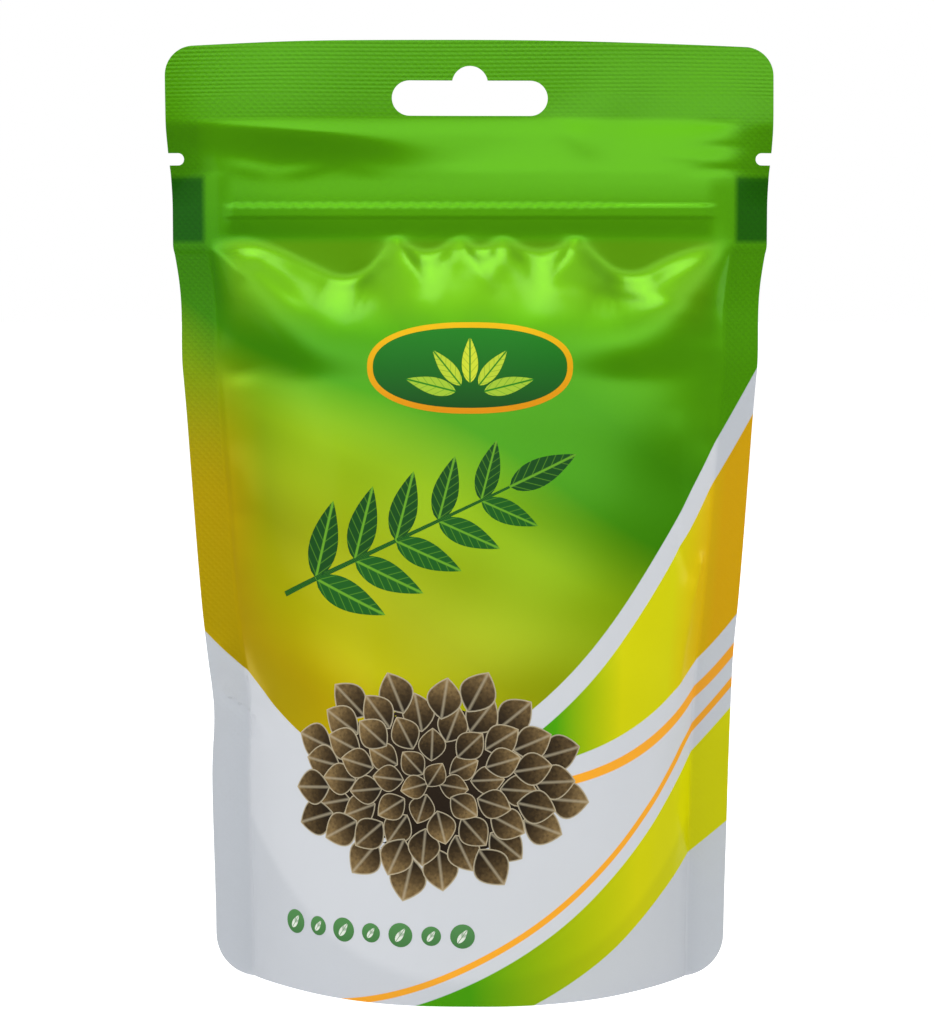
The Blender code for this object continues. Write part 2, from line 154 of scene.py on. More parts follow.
# Soft dents and swellings: (across, up, half length, half height above and below, height, turn in
# degrees), in mm
FRONT_DENTS = (
    (-46.0, 173.6, 4.0, 1.6, 1.2, 0.14, -16.0),
    (-33.0, 173.4, 5.0, 1.6, 1.2, 0.16, 12.0),
    (-22.0, 173.6, 4.0, 1.6, 1.2, 0.12, -8.0),
    (51.5, 183.2, 4.0, 1.1, 1.1, -0.14, 0.0),
    (51.5, 178.2, 4.0, 1.2, 1.2, -0.20, 0.0),
    (50.5, 173.2, 5.0, 1.0, 1.0, -0.16, 4.0),
    (46.5, 175.6, 6.0, 1.0, 1.0, 0.12, -6.0),
    (-48.5, 129.0, 4.0, 2.0, 2.0, -0.22, 10.0),
    (-46.0, 110.0, 3.5, 10.0, 10.0, -0.20, 0.0),
    (47.0, 140.0, 4.0, 8.0, 8.0, -0.30, 10.0),
    (-30.0, 137.0, 10.0, 5.0, 5.0, -0.30, -30.0),
)
BACK_DENTS = (
    (-51.5, 178.5, 4.0, 1.2, 1.2, -0.30, 0.0),
    (48.0, 126.0, 4.0, 2.2, 2.2, -0.25, -8.0),
    (-46.0, 100.0, 3.5, 9.0, 9.0, -0.25, 0.0),
)
# Bends of the flat top, which both layers share, as the dents but away from the front. The longest stands
# forward over a steep lower side, which faces the floor and so is dark.
HEADER_BENDS = (
    (-37.0, 182.0, 18.0, 42.0, 4.2, -3.80, -6.0),
    (24.0, 181.0, 5.0, 14.0, 3.0, -0.40, -38.0),
    (46.0, 180.6, 9.0, 14.0, 4.0, -0.20, 4.0),
    (4.0, 177.0, 10.0, 4.0, 4.0, 0.12, 8.0),
    (44.0, 199.0, 20.0, 12.0, 12.0, 0.75, 0.0),
)

# The zip shows through as a raised band with a crimped upper edge, in mm up the film
ZIP_BAND = (163.4, 165.9)
ZIP_BAND_HEIGHT = 0.60
ZIP_CRIMP_PITCH = 2.4
ZIP_CRIMP_HEIGHT = 0.35
ZIP_BAND_END = 50.0

# The hang hole and the notches, as cut in the solids
SLOT_LENGTH = 32 * MM
SLOT_HEIGHT = 7.2 * MM
SLOT_FROM_TOP = 11.9 * MM
HUMP_RADIUS = 3.7 * MM
HUMP_RISE = 3.0 * MM
NOTCH_FROM_TOP = 24.3 * MM
NOTCH_DEPTH = 3.2 * MM
NOTCH_HEIGHT = 2.5 * MM
TOP_CORNER_RADIUS = 6 * MM
BOTTOM_CORNER_RADIUS = 9 * MM
CUTTER_REACH = 14 * MM
ARC_STEPS = 20

# The gusset, as in the solids
GUSSET_RISE = 35 * MM
GUSSET_WELD_LOW = 5 * MM
GUSSET_POWER = 2.2
GUSSET_DROP = 9 * MM
GUSSET_REACH = 0.985
GUSSET_FLAT = 0.4

TABLE_ROWS = 801
TABLE_STEPS = 400
FILM_UP = np.linspace(0, POUCH_HEIGHT, TABLE_ROWS)
CHORD_ROUNDS = 12
WEAVE = 3  # fine cells to each coarse one, where two grids meet
SHARP_ANGLE = math.radians(40)
# How far each side of a place a wall is read for its normal, bare and with its folds
NORMAL_STEP = 0.12 * MM
FOLDED_STEP = 0.3 * MM
# A waist in the right edge: its middle and half height in mm up the film, and the share it draws in
WAIST = (57, 9, 0.018)
# Where the walls join and share their folds, in mm: from the middle line, and up the film
WELDED_ACROSS = (53.2, 55.2)
WELDED_UP = (182.5, 184.5)
# The top seal's ribs: the share of their height that starts at each range of places up the film, in mm
RIB_RANGES = ((0.35, 183.0, 185.0), (0.65, 188.5, 190.0))
RIB_SAG = 0.9
# Puckers along the side seals: from and to where, how far apart, and how far from the middle line, in mm
PUCKER_LEVELS = (14, 150, 8.5)
PUCKER_ACROSS = 52.5
# Soft waves of the body: height, how many, and their lengths, in mm
BODY_WAVES = (0.10, 7, (16, 34))


def linear(hex_colour):
    """An sRGB hex colour as linear red, green and blue."""
    parts = np.array([int(hex_colour[i : i + 2], 16) for i in (1, 3, 5)]) / 255
    return tuple(np.where(parts <= 0.04045, parts / 12.92, ((parts + 0.055) / 1.055) ** 2.4))


def smoothstep(low, high, value):
    """0 below low, 1 above high, and 3t² - 2t³ between them."""
    share = np.clip((value - low) / (high - low), 0, 1)
    return share * share * (3 - 2 * share)


def through(stations, at):
    """A curve through the stations that never overshoots them: a cubic whose slope at each station is the
    harmonic mean of the slopes on its two sides."""
    along, value = np.array(stations).T
    slope = np.diff(value) / np.diff(along)
    before, after = slope[:-1], slope[1:]
    turning = before * after <= 0
    total = np.where(turning, 1.0, before + after)
    tangent = np.concatenate(([0.0], np.where(turning, 0.0, 2 * before * after / total), [0.0]))
    at = np.clip(np.asarray(at, float), along[0], along[-1])
    index = np.clip(np.searchsorted(along, at, side="right") - 1, 0, len(along) - 2)
    span = along[index + 1] - along[index]
    t = (at - along[index]) / span
    start = (1 + 2 * t) * (1 - t) ** 2 * value[index] + t * (1 - t) ** 2 * span * tangent[index]
    end = t**2 * (3 - 2 * t) * value[index + 1] + t**2 * (t - 1) * span * tangent[index + 1]
    return start + end


def section_tables():
    """For even steps up the film, and along it from the middle line to the side seal: x, and the bulge. A
    level section bulges by the depth times one less a power of the share of the half chord, and the half
    chord is the one that makes the curve as long as the film. Also the height above the floor, which is
    the film's length less what its slope and its small folds take."""
    depth = through(DEPTH, FILM_UP)[:, None]
    low, high = SQUARENESS_BLEND
    blend = np.clip((FILM_UP - low) / (high - low), 0, 1) ** 2
    power = (BODY_SQUARENESS + (ZIP_SQUARENESS - BODY_SQUARENESS) * blend)[:, None]
    share = np.linspace(0, 1, 2 * TABLE_STEPS)[None, :]
    bulge = depth * (1 - share**power)
    chord = np.full((TABLE_ROWS, 1), BAG_HALF)
    for _ in range(CHORD_ROUNDS):
        steps = np.hypot(np.diff(share) * chord, np.diff(bulge, axis=1))
        length = np.concatenate((np.zeros((TABLE_ROWS, 1)), np.cumsum(steps, axis=1)), axis=1)
        chord *= BAG_HALF / length[:, -1:]
    even = np.linspace(0, 1, TABLE_STEPS)
    length /= length[:, -1:]
    x = np.array([np.interp(even, a, b) for a, b in zip(length, share * chord)])
    y = np.array([np.interp(even, a, b) for a, b in zip(length, bulge)])
    rise = np.sqrt(np.diff(FILM_UP) ** 2 - np.diff(depth[:, 0]) ** 2)
    rise *= CAD_BOX[1][2] / rise.sum()
    return x, y, np.concatenate(([0.0], np.cumsum(rise)))


SECTION_X, SECTION_BULGE, FILM_HEIGHT = section_tables()


def read_table(table, across, up):
    """A value between the rows and columns of a section table, at places on the flat film."""
    row = np.clip(up / POUCH_HEIGHT, 0, 1) * (TABLE_ROWS - 1.0001)
    column = np.clip(np.abs(across) / BAG_HALF, 0, 1) * (TABLE_STEPS - 1.0001)
    r, c = row.astype(int), column.astype(int)
    fr, fc = row - r, column - c
    low = table[r, c] * (1 - fc) + table[r, c + 1] * fc
    high = table[r + 1, c] * (1 - fc) + table[r + 1, c + 1] * fc
    return low * (1 - fr) + high * fr


def height_at(up):
    """How high above the floor a place up the film is."""
    return np.interp(up, FILM_UP, FILM_HEIGHT)


def up_at(height):
    """The place up the film that is at a height above the floor."""
    return np.interp(height, FILM_HEIGHT, FILM_UP)


def ridge(across, up, crease):
    """A crease's height at places in mm: it falls off as an exponential of the distance from the line
    between the crease's ends, is rounded over at its top, and fades in and out along its length."""
    a, b, c, d, height, width, radius = crease
    length = math.hypot(c - a, d - b)
    along = ((across - a) * (c - a) + (up - b) * (d - b)) / length**2
    beside = ((across - a) * (d - b) - (up - b) * (c - a)) / length
    fade = smoothstep(-0.08, 0.15, along) * (1 - smoothstep(0.6, 1.1, along))
    return height * fade * np.exp(-(np.sqrt(beside**2 + radius**2) - radius) / width)


def dent(across, up, shape):
    """A turned oval bell curve, in mm, steeper on one side if it is given two half heights."""
    a, b, half_length, above, below, height, turn = shape
    c, s = math.cos(math.radians(turn)), math.sin(math.radians(turn))
    along = ((across - a) * c + (up - b) * s) / half_length
    beside = (up - b) * c - (across - a) * s
    beside = beside / np.where(beside > 0, above, below)
    return height * np.exp(-(along**2) - beside**2)


def ripple(across, up, draw, count, lengths):
    """Gentle waves over the film: a sum of sines of drawn direction, length and start, from -1 to 1 or
    so."""
    total = np.zeros_like(across)
    for _ in range(count):
        angle, start = draw.uniform(0, math.pi), draw.uniform(0, 2 * math.pi)
        length = draw.uniform(*lengths)
        total += np.sin((across * math.cos(angle) + up * math.sin(angle)) / length * 2 * math.pi + start)
    return total / math.sqrt(count)


def normal_of(surface, across, up, step):
    """Unit normals of a surface over the flat film: across it and up it, the difference between the points
    a step to each side, and the cross product of the two."""
    over = surface(across + step, up) - surface(across - step, up)
    rise = surface(across, up + step) - surface(across, up - step)
    normal = np.cross(over, rise)
    return normal / np.linalg.norm(normal, axis=-1, keepdims=True)


class Wall:
    """One wall of the pouch, as functions of the place on its flat film."""

    def __init__(self, side, tucks, creases, dents, seed, film):
        self.side = side
        self.tucks = np.array(tucks)
        self.creases = creases
        self.dents = dents
        self.seed = seed
        self.film = film

    def tuck_line(self, across, up):
        """Where the bulge begins, in mm up the film: straight from tuck to tuck, averaged over a width that
        grows down the film, so that a fold is tight at the zip and melts away below it."""
        width = TUCK_SOFTNESS + TUCK_SPREAD * np.clip(TUCK_LEVEL - up, 0, None)
        taps = np.linspace(-1, 1, TUCK_TAPS)
        return np.mean([np.interp(across + width * s, *self.tucks.T) for s in taps], axis=0)

    def bare(self, across, up):
        """The wall's middle surface before its creases. Just below the zip the bulge is read from further
        up the film, by as much as the tuck there hangs down."""
        across_mm, up_mm = across / MM, up / MM
        low, full, fade, gone = TUCK_FADE
        share = smoothstep(low, full, up_mm) * (1 - smoothstep(fade, gone, up_mm))
        shifted = up + (TUCK_LEVEL - self.tuck_line(across_mm, up_mm)) * share * MM
        near = share * FOLD_RADIUS * MM
        bulge = np.mean([read_table(SECTION_BULGE, across, shifted + near * s) for s in FOLD_TAPS], axis=0)
        on_seal = np.clip(np.abs(across) - BAG_HALF, 0, None)
        turn = through(SEAL_TURN, up)
        out = np.sign(across) * (read_table(SECTION_X, across, up) + on_seal * np.cos(turn))
        level, reach, draw_in = WAIST
        out = out * (1 - draw_in * np.exp(-(((up_mm - level) / reach) ** 2)) * (across * self.side > 0))
        offset = self.film.thickness / 2 + self.film.weld_gap
        y = self.side * (bulge + offset) + on_seal * np.sin(turn) + self.header(across_mm, up_mm)
        droop = TOP_EDGE_DROOP * smoothstep(DROOP_START, POUCH_HEIGHT, up) * (across / BAG_HALF) ** 2
        return np.stack((-self.side * out, y, height_at(up) - droop), axis=-1)

    def header(self, across, up):
        """What bends both layers alike, as a move along Y: slow waves, bends and a lean backwards over
        the flat top, a share of the bulge's end taken back, so that the front stands upright there, and
        the ribs that the sealing bars press into the top seal."""
        right = -self.side * across
        wave = 0.35 * np.sin(right / 31 + 0.6) * smoothstep(166, 190, up)
        wave += 0.25 * np.sin(right / 17 - up / 14) * smoothstep(170, 186, up)
        wave += (HEADER_LEAN + right / 50) * np.clip((up - 170) / 30, 0, None) ** 1.3
        wave -= HEADER_UPRIGHT * (1.8 - through(DEPTH, np.clip(up, 172, 200) * MM) / MM)
        wave += sum(dent(right, up, shape) for shape in HEADER_BENDS) * smoothstep(171.5, 175, up)
        sag = RIB_SAG * np.cos(right / 62.5 * 2.2 + 0.3)
        ribs = np.sin((up + sag) / (self.film.rib_pitch / MM) * 2 * math.pi)
        strength = sum(share * smoothstep(low, high, up) for share, low, high in RIB_RANGES)
        return (wave + ribs * strength * self.film.rib_height / MM / 2) * MM

    def relief(self, across, up):
        """How far the wall stands out of the bare one, in mm. Where the walls are welded both follow the
        front wall's folds, so there the back stands out by what the front draws in."""
        welded = np.maximum(smoothstep(*WELDED_ACROSS, np.abs(across)), smoothstep(*WELDED_UP, up))
        shared = self.seal_folds(-self.side * across, up) * -self.side
        return (self.own_folds(across, up) * (1 - welded) + shared * welded) * self.film.crease_strength

    def seal_folds(self, right, up):
        """The front wall's creases and dents, by the place to the right of the front's middle."""
        total = sum(ridge(right, up, crease) for crease in FRONT_CREASES)
        return total + sum(dent(right, up, shape) for shape in FRONT_DENTS)

    def own_folds(self, across, up):
        """This wall's folds, dents and pressed marks, in mm."""
        draw = np.random.default_rng(self.seed)
        inside = 1 - smoothstep(50.5, 54.5, np.abs(across))
        body = 1 - smoothstep(140, 156, up)
        height, count, lengths = BODY_WAVES
        total = height * ripple(across, up, draw, count, lengths) * body * inside
        total += sum(ridge(across, up, crease) for crease in self.creases)
        total += sum(dent(across, up, shape) for shape in self.dents)
        total += self.seal_puckers(across, up, draw)
        foot, head = ZIP_BAND
        crimp = np.cos(across / ZIP_CRIMP_PITCH * 2 * math.pi)
        crimp *= 1 - smoothstep(22, 40, across * -self.side)
        head = head + ZIP_CRIMP_HEIGHT * crimp
        rise = 0.3 * smoothstep(foot - 0.5, foot + 0.2, up) + 0.7 * smoothstep(foot - 4.4, foot + 0.2, up)
        fall = 0.5 * smoothstep(head - 0.5, head + 0.4, up) + 0.5 * smoothstep(head, head + 7.0, up)
        band = ZIP_BAND_HEIGHT * rise * (1 - fall)
        return total + band * (1 - smoothstep(ZIP_BAND_END - 2, ZIP_BAND_END + 1, np.abs(across)))

    def seal_puckers(self, across, up, draw):
        """Short level puckers that run in from the side seals, where the flat seal gathers the full bag."""
        total = np.zeros_like(across)
        for side in (-1, 1):
            for level in np.arange(*PUCKER_LEVELS):
                middle = level + draw.uniform(-3, 3)
                height = draw.uniform(-0.16, 0.16)
                reach = draw.uniform(3, 7)
                spread = draw.uniform(1.6, 3.0)
                bell = np.exp(-(((up - middle) / spread) ** 2))
                total += height * bell * np.exp(-(((side * across - PUCKER_ACROSS) / reach) ** 2))
        return total * (1 - smoothstep(55.5, 58.5, np.abs(across)))

    def place(self, across, up):
        """Points of the wall's middle surface with its relief, along the bare wall's normal."""
        relief = self.relief(across / MM, up / MM) * MM
        return self.bare(across, up) + normal_of(self.bare, across, up, NORMAL_STEP) * relief[..., None]

    def skin(self, across, up, lift):
        """Points that stand off the wall's printed side by lift, along the normal of its folded surface."""
        normal = normal_of(self.place, across, up, FOLDED_STEP)
        return self.place(across, up) + normal * (self.film.thickness / 2 + lift)


def steps_between(start, *stops):
    """Rising values in metres, from a start and (end, number of steps) pairs in mm."""
    values = np.array([start], float)
    for end, count in stops:
        values = np.concatenate((values, np.linspace(values[-1], end, count + 1)[1:]))
    return values * MM


HALF_COLUMNS = steps_between(0, (54.5, 81), (62.5, 12))
FINE_COLUMNS = np.concatenate((-HALF_COLUMNS[:0:-1], HALF_COLUMNS))
BODY_ROWS = steps_between(0, (118, 98), (144, 34), (161, 42), (167, 22), (172, 7))
HEADER_ROWS = steps_between(172, (181, 15), (200, 134))


def lattice(rows, columns, first=0):
    """The point numbers of a grid of points, row by row."""
    return first + np.arange(rows * columns).reshape(rows, columns)


def quads(ids):
    """The faces between neighbouring rows and columns of a grid of point numbers."""
    return np.stack((ids[:-1, :-1], ids[:-1, 1:], ids[1:, 1:], ids[1:, :-1]), axis=-1).reshape(-1, 4)


def weave(fine, coarse):
    """Faces between a line of points and a coarser one that has one cell to each WEAVE of the first's."""
    cells = len(coarse) - 1
    parts = [fine[step : step + cells * WEAVE : WEAVE] for step in range(WEAVE + 1)]
    return np.stack((*parts, coarse[1:], coarse[:-1]), axis=-1)


def write_values(mesh, values):
    """Number attributes from a value for each point."""
    for key, array in values.items():
        attribute = mesh.attributes.new(key, "FLOAT", "POINT")
        attribute.data.foreach_set("value", np.asarray(array, np.float32).ravel())


def mesh_piece(name, points, faces, slots, looks, flat=None, values=None):
    """An object from points and groups of faces, with the number of each group's material, a UV map from a
    place for each point and number attributes from a value for each point."""
    mesh = bpy.data.meshes.new(name)
    mesh.from_pydata(points.reshape(-1, 3).tolist(), [], [f for group in faces for f in group.tolist()])
    index = np.concatenate([np.full(len(group), slot, np.int32) for slot, group in zip(slots, faces)])
    mesh.polygons.foreach_set("material_index", index)
    if flat is not None:
        corners = np.zeros(len(mesh.loops), np.int32)
        mesh.loops.foreach_get("vertex_index", corners)
        layer = mesh.uv_layers.new(name="film")
        layer.uv.foreach_set("vector", flat.reshape(-1, 2)[corners].astype(np.float32).ravel())
    write_values(mesh, values or {})
    for look in looks:
        mesh.materials.append(look)
    mesh.shade_smooth()
    piece = bpy.data.objects.new(name, mesh)
    bpy.context.scene.collection.objects.link(piece)
    return piece


def settle(piece, slot, *nodes):
    """Ties a finished piece to the packed part."""
    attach(piece, "root")
    if nodes:
        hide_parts(*nodes)


def apply_modifiers(piece):
    """Replaces the piece's mesh by what its modifiers make of it."""
    graph = bpy.context.evaluated_depsgraph_get()
    graph.update()
    shown = piece.evaluated_get(graph)
    made = bpy.data.meshes.new_from_object(shown, preserve_all_data_layers=True, depsgraph=graph)
    piece.modifiers.clear()
    piece.data = made


def normals_of(points):
    """Unit normals of a grid of points, from the differences along its rows and columns."""
    normal = np.cross(np.gradient(points, axis=1), np.gradient(points, axis=0))
    return normal / np.linalg.norm(normal, axis=-1, keepdims=True)


def flat_place(across, up):
    """The UV of a place on the flat film: the whole film is the unit square."""
    return np.stack((across / POUCH_WIDTH + 0.5, up / POUCH_HEIGHT), axis=-1)


def film_side(ids, head_ids):
    """The faces of one side of a film: the body's grid, the header's, and the faces between them."""
    return np.concatenate((quads(ids), quads(head_ids))), weave(ids[-1], head_ids[0])


def film_piece(name, wall, fields, looks):
    """A closed sheet of film with its two sides half its thickness either way from the wall's middle
    surface. A fine grid makes the body, and one of wider columns and closer rows the header. A rim joins
    the two sides."""
    across, up = np.meshgrid(FINE_COLUMNS, BODY_ROWS)
    head_across, head_up = np.meshgrid(FINE_COLUMNS[::WEAVE], HEADER_ROWS)
    body, head = wall.place(across, up), wall.place(head_across, head_up)
    half = wall.film.thickness / 2
    middle = np.concatenate((body.reshape(-1, 3), head[1:].reshape(-1, 3)))
    out = np.concatenate((normals_of(body).reshape(-1, 3), normals_of(head)[1:].reshape(-1, 3))) * half
    ids = lattice(*body.shape[:2])
    head_ids = lattice(len(HEADER_ROWS) - 1, head.shape[1], ids.size)
    behind = len(middle)
    left = np.concatenate((ids[:, 0], head_ids[:, 0]))
    right = np.concatenate((ids[:, -1], head_ids[:, -1]))
    loop = np.concatenate((ids[0], right[1:], head_ids[-1][-2::-1], left[-2:0:-1]))
    after = np.roll(loop, -1)
    rim = np.stack((after, loop, loop + behind, after + behind), axis=-1)
    printed = [*film_side(ids, head_ids), rim]
    lining = [faces[:, ::-1] + behind for faces in film_side(ids, head_ids)]
    flat_across = np.tile(np.concatenate((across.ravel(), head_across[1:].ravel())), 2)
    flat_up = np.tile(np.concatenate((up.ravel(), head_up[1:].ravel())), 2)
    return mesh_piece(
        name, np.concatenate((middle + out, middle - out)), [*printed, *lining], (0, 0, 0, 1, 1), looks,
        flat_place(flat_across, flat_up), fields(flat_across / MM, flat_up / MM)
    )


def arc(x, z, radius, start, end):
    """Points round an arc, from one angle in degrees to another."""
    angles = np.radians(np.linspace(start, end, ARC_STEPS + 1))
    return np.stack((x + radius * np.cos(angles), z + radius * np.sin(angles)), axis=-1)


def hang_hole(top):
    """A round-ended slot with a round hump on its upper side."""
    half, radius = SLOT_LENGTH / 2 - SLOT_HEIGHT / 2, SLOT_HEIGHT / 2
    middle = top - SLOT_FROM_TOP
    hump = middle + radius + HUMP_RISE - HUMP_RADIUS
    dip = math.degrees(math.asin((HUMP_RADIUS - HUMP_RISE) / HUMP_RADIUS))
    sides = (
        arc(half, middle, radius, -90, 90), arc(0, hump, HUMP_RADIUS, dip, 180 - dip),
        arc(-half, middle, radius, 90, 270)
    )
    return np.concatenate(sides)


def notch(top, edge):
    """A round-ended slot let in from a side edge."""
    radius, middle = NOTCH_HEIGHT / 2, top - NOTCH_FROM_TOP
    beyond = edge + NOTCH_DEPTH
    end = arc(edge - NOTCH_DEPTH + radius, middle, radius, 90, 270)
    return np.concatenate((end, [(beyond, middle - radius), (beyond, middle + radius)]))


def corner(edge, level, radius, sign):
    """What a rounded corner leaves over of a square one, taken past both edges."""
    past = radius / 4
    curve = arc(0, 0, radius, 0, 90) * (1, sign) + (edge - radius, level - sign * radius)
    high, low = level + sign * past, level - sign * radius
    outer = ((edge - radius, high), (edge + past, high), (edge + past, low))
    return np.concatenate((curve, outer))


def prism(name, outline, look):
    """An outline in the X-Z plane carried along Y, as a closed cutter."""
    if np.sum(outline[:, 0] * np.roll(outline[:, 1], -1) - np.roll(outline[:, 0], -1) * outline[:, 1]) < 0:
        outline = outline[::-1]
    count = len(outline)
    depth = np.full(count, CUTTER_REACH)
    near = np.stack((outline[:, 0], -depth, outline[:, 1]), axis=-1)
    far = near * (1, -1, 1)
    ids = np.arange(count)
    after = np.roll(ids, -1)
    sides = np.stack((after, ids, ids + count, after + count), axis=-1)
    caps = [np.array([ids]), np.array([ids[::-1] + count])]
    mesh = bpy.data.meshes.new(name)
    faces = [f for group in (*caps, sides) for f in group.tolist()]
    mesh.from_pydata(np.concatenate((near, far)).tolist(), [], faces)
    mesh.materials.append(look)
    cutter = bpy.data.objects.new(name, mesh)
    bpy.context.scene.collection.objects.link(cutter)
    return cutter


def print_cut_edges(mesh, wall, fields):
    """Gives the points that the cuts made the print's values. Their height is read back to a place up the
    film, and their distance from the middle as a share of the wall's half width there."""
    count = len(mesh.vertices)
    points, made = np.zeros(count * 3, np.float32), np.zeros(count, np.float32)
    mesh.vertices.foreach_get("co", points)
    mesh.attributes["made"].data.foreach_get("value", made)
    cut = made < 0.999
    x, _, z = points.reshape(-1, 3)[cut].T
    up = up_at(z)
    rim = np.abs(wall.bare(np.full(len(x), POUCH_WIDTH / 2), up)[:, 0])
    across = -wall.side * x / rim * POUCH_WIDTH / 2
    for key, array in fields(across / MM, up / MM).items():
        values = np.zeros(count, np.float32)
        mesh.attributes[key].data.foreach_get("value", values)
        values[cut] = array
        mesh.attributes[key].data.foreach_set("value", values)


def trim(piece, wall, fields):
    """Cuts the hang hole, the tear notches and the round corners out of a wall, and makes its edges
    crisp."""
    top = float(height_at(POUCH_HEIGHT))
    side = POUCH_WIDTH / 2
    levels = np.array([POUCH_HEIGHT - NOTCH_FROM_TOP, BOTTOM_CORNER_RADIUS / 2, POUCH_HEIGHT])
    rim = np.abs(wall.bare(np.array([side, side, side - TOP_CORNER_RADIUS]), levels))
    edge_notch, edge_low, corner_top = float(rim[0, 0]), float(rim[1, 0]), float(rim[2, 2])
    one_side = (
        notch(top, edge_notch), corner(POUCH_WIDTH / 2, corner_top, TOP_CORNER_RADIUS, 1),
        corner(edge_low, 0.0, BOTTOM_CORNER_RADIUS, -1)
    )
    outlines = [hang_hole(top), *one_side, *(shape * (-1, 1) for shape in one_side)]
    look = piece.data.materials[0]
    cutters = [prism(f"{piece.name}_cutter_{n}", shape, look) for n, shape in enumerate(outlines)]
    for cutter in cutters:
        cut = piece.modifiers.new(cutter.name, "BOOLEAN")
        cut.operation = "DIFFERENCE"
        cut.object = cutter
        cut.solver = "MANIFOLD"
    apply_modifiers(piece)
    for cutter in cutters:
        bpy.data.objects.remove(cutter)
    print_cut_edges(piece.data, wall, fields)
    piece.data.set_sharp_from_angle(angle=SHARP_ANGLE)


# The print, in mm of flat film
SWEEP_LOW = (-18.0, 49.0)
SWEEP_CURVE = 0.0125
RIBBON_GAP = 4.4
RIBBON_WIDTH = 19.0
RIBBON_START = -14.0
LINE_WIDTH = 1.3
LINE_GAP = 3.4
CRESCENT_TOP = (0.00596, -5.0)
CRESCENT_FOOT = (0.004345, -12.2)
CRESCENT_AXIS = -40.0
TINT_SLANT = 0.55
TINT_RANGE = (-40.0, 120.0)
# Half the width of a printed edge's blur, in mm, and how much of the metal clear ink lets through
INK_BLUR = 0.07
CLEAR_METAL = 0.38


def curve_distance(across, up, axis, bend, level):
    """Roughly how far a place is above a parabola: the difference in height over the slope's length."""
    height = up - level - bend * (across - axis) ** 2
    return height / np.sqrt(1 + (2 * bend * (across - axis)) ** 2)


def weld_height(across):
    """How high up the film the gusset is welded to the wall, in metres: a power of the share of the
    width."""
    share = np.clip(np.abs(across) / BAG_HALF, 0, 1)
    return GUSSET_WELD_LOW + (GUSSET_RISE - GUSSET_WELD_LOW) * share**GUSSET_POWER


def print_fields(across, up):
    """The printed shapes as distances in mm, positive inside each: the green field above a sweep, a ribbon
    that widens under it and a crescent at the lower right; clear holds whichever is clear ink. Two thin
    lines, below the ribbon and above the crescent, as distances from their middles; unborn is where the
    first hasn't begun. made is 1, and right is the share of the width. tint grows from the top right to
    the lower left, and amber runs down the left seal. The slope just below the zip gets a lighter lime,
    painted there as highlight. seal and patch are the welded zones, and seal also darkens the colour there
    as painted shade."""
    edge = curve_distance(across, up, SWEEP_LOW[0], SWEEP_CURVE, SWEEP_LOW[1])
    unborn = 1 - smoothstep(RIBBON_START + 8, RIBBON_START + 18, across)
    width = RIBBON_WIDTH * smoothstep(RIBBON_START, 64, across)
    ribbon = np.minimum(-edge - RIBBON_GAP, edge + RIBBON_GAP + width) - 2 * unborn
    rightward = np.maximum(across, CRESCENT_AXIS)
    top = curve_distance(rightward, up, CRESCENT_AXIS, *CRESCENT_TOP)
    foot = curve_distance(rightward, up, CRESCENT_AXIS, *CRESCENT_FOOT)
    crescent = np.minimum(-top, foot)
    side = np.abs(across)
    seal = np.maximum(smoothstep(54.0, 55.4, side), smoothstep(183.5, 185, up))
    seal = np.maximum(seal, 0.5 * smoothstep(1.5, -1.5, up - weld_height(across * MM) / MM))
    slant = (150 - up) - TINT_SLANT * across
    drift = 5 * np.sin(across / 19 + 1) * np.sin(up / 23 + 2)
    return {
        "edge": edge, "ribbon": ribbon, "crescent": crescent,
        "line": edge + RIBBON_GAP + width + LINE_GAP, "low_line": top - LINE_GAP, "unborn": unborn,
        "made": np.ones_like(across), "right": across / (POUCH_WIDTH / MM) + 0.5,
        "clear": np.maximum(np.maximum(edge, ribbon), crescent),
        "tint": (slant + drift - TINT_RANGE[0]) / (TINT_RANGE[1] - TINT_RANGE[0]),
        "amber": smoothstep(-42, -57, across) * smoothstep(136, 98, up),
        # Where a lighter lime is painted as highlight: the slope just below the zip, which faces the top
        # lamp
        "shoulder": smoothstep(134, 148, up) * smoothstep(159.5, 157.5, up) * smoothstep(54, 47, side),
        "seal": seal,
        "patch": smoothstep(54.6, 55.8, side) * smoothstep(157.5, 159, up) * smoothstep(172.5, 171, up)
    }


def mirrored_print(across, up):
    """The back's print: the front's, carried on round the side edges."""
    return print_fields(-across, up)


# A mix node's settings where it mixes colours, and the number of the output that they leave by
COLOURS = {"data_type": "RGBA", "out": 2}
KNURL_PITCH = 1.1


def add_node(tree, kind, inputs=None, stops=None, out=0, **settings):
    """Adds a node, its kind given without Blender's first word for it, with its settings, its colour stops
    if it has any, and its inputs as values or as other nodes' outputs, and gives one of its outputs."""
    node = tree.nodes.new("ShaderNode" + kind)
    for key, value in settings.items():
        setattr(node, key, value)
    if stops:
        while len(node.color_ramp.elements) < len(stops):
            node.color_ramp.elements.new(0.5)
        for element, (place, colour) in zip(node.color_ramp.elements, stops):
            element.position = place
            element.color = (*colour[:3], 1)
    for key, value in (inputs or {}).items():
        socket = node.inputs[key]
        if isinstance(value, bpy.types.NodeSocket):
            tree.links.new(value, socket)
        elif socket.type == "RGBA":
            socket.default_value = (*value[:3], 1)
        else:
            socket.default_value = value
    return node.outputs[out] if node.outputs else None


def new_material(name):
    """An empty node material, and add_node for its tree."""
    look = bpy.data.materials.new(name)
    look.use_nodes = True
    look.node_tree.nodes.clear()
    return look, partial(add_node, look.node_tree)


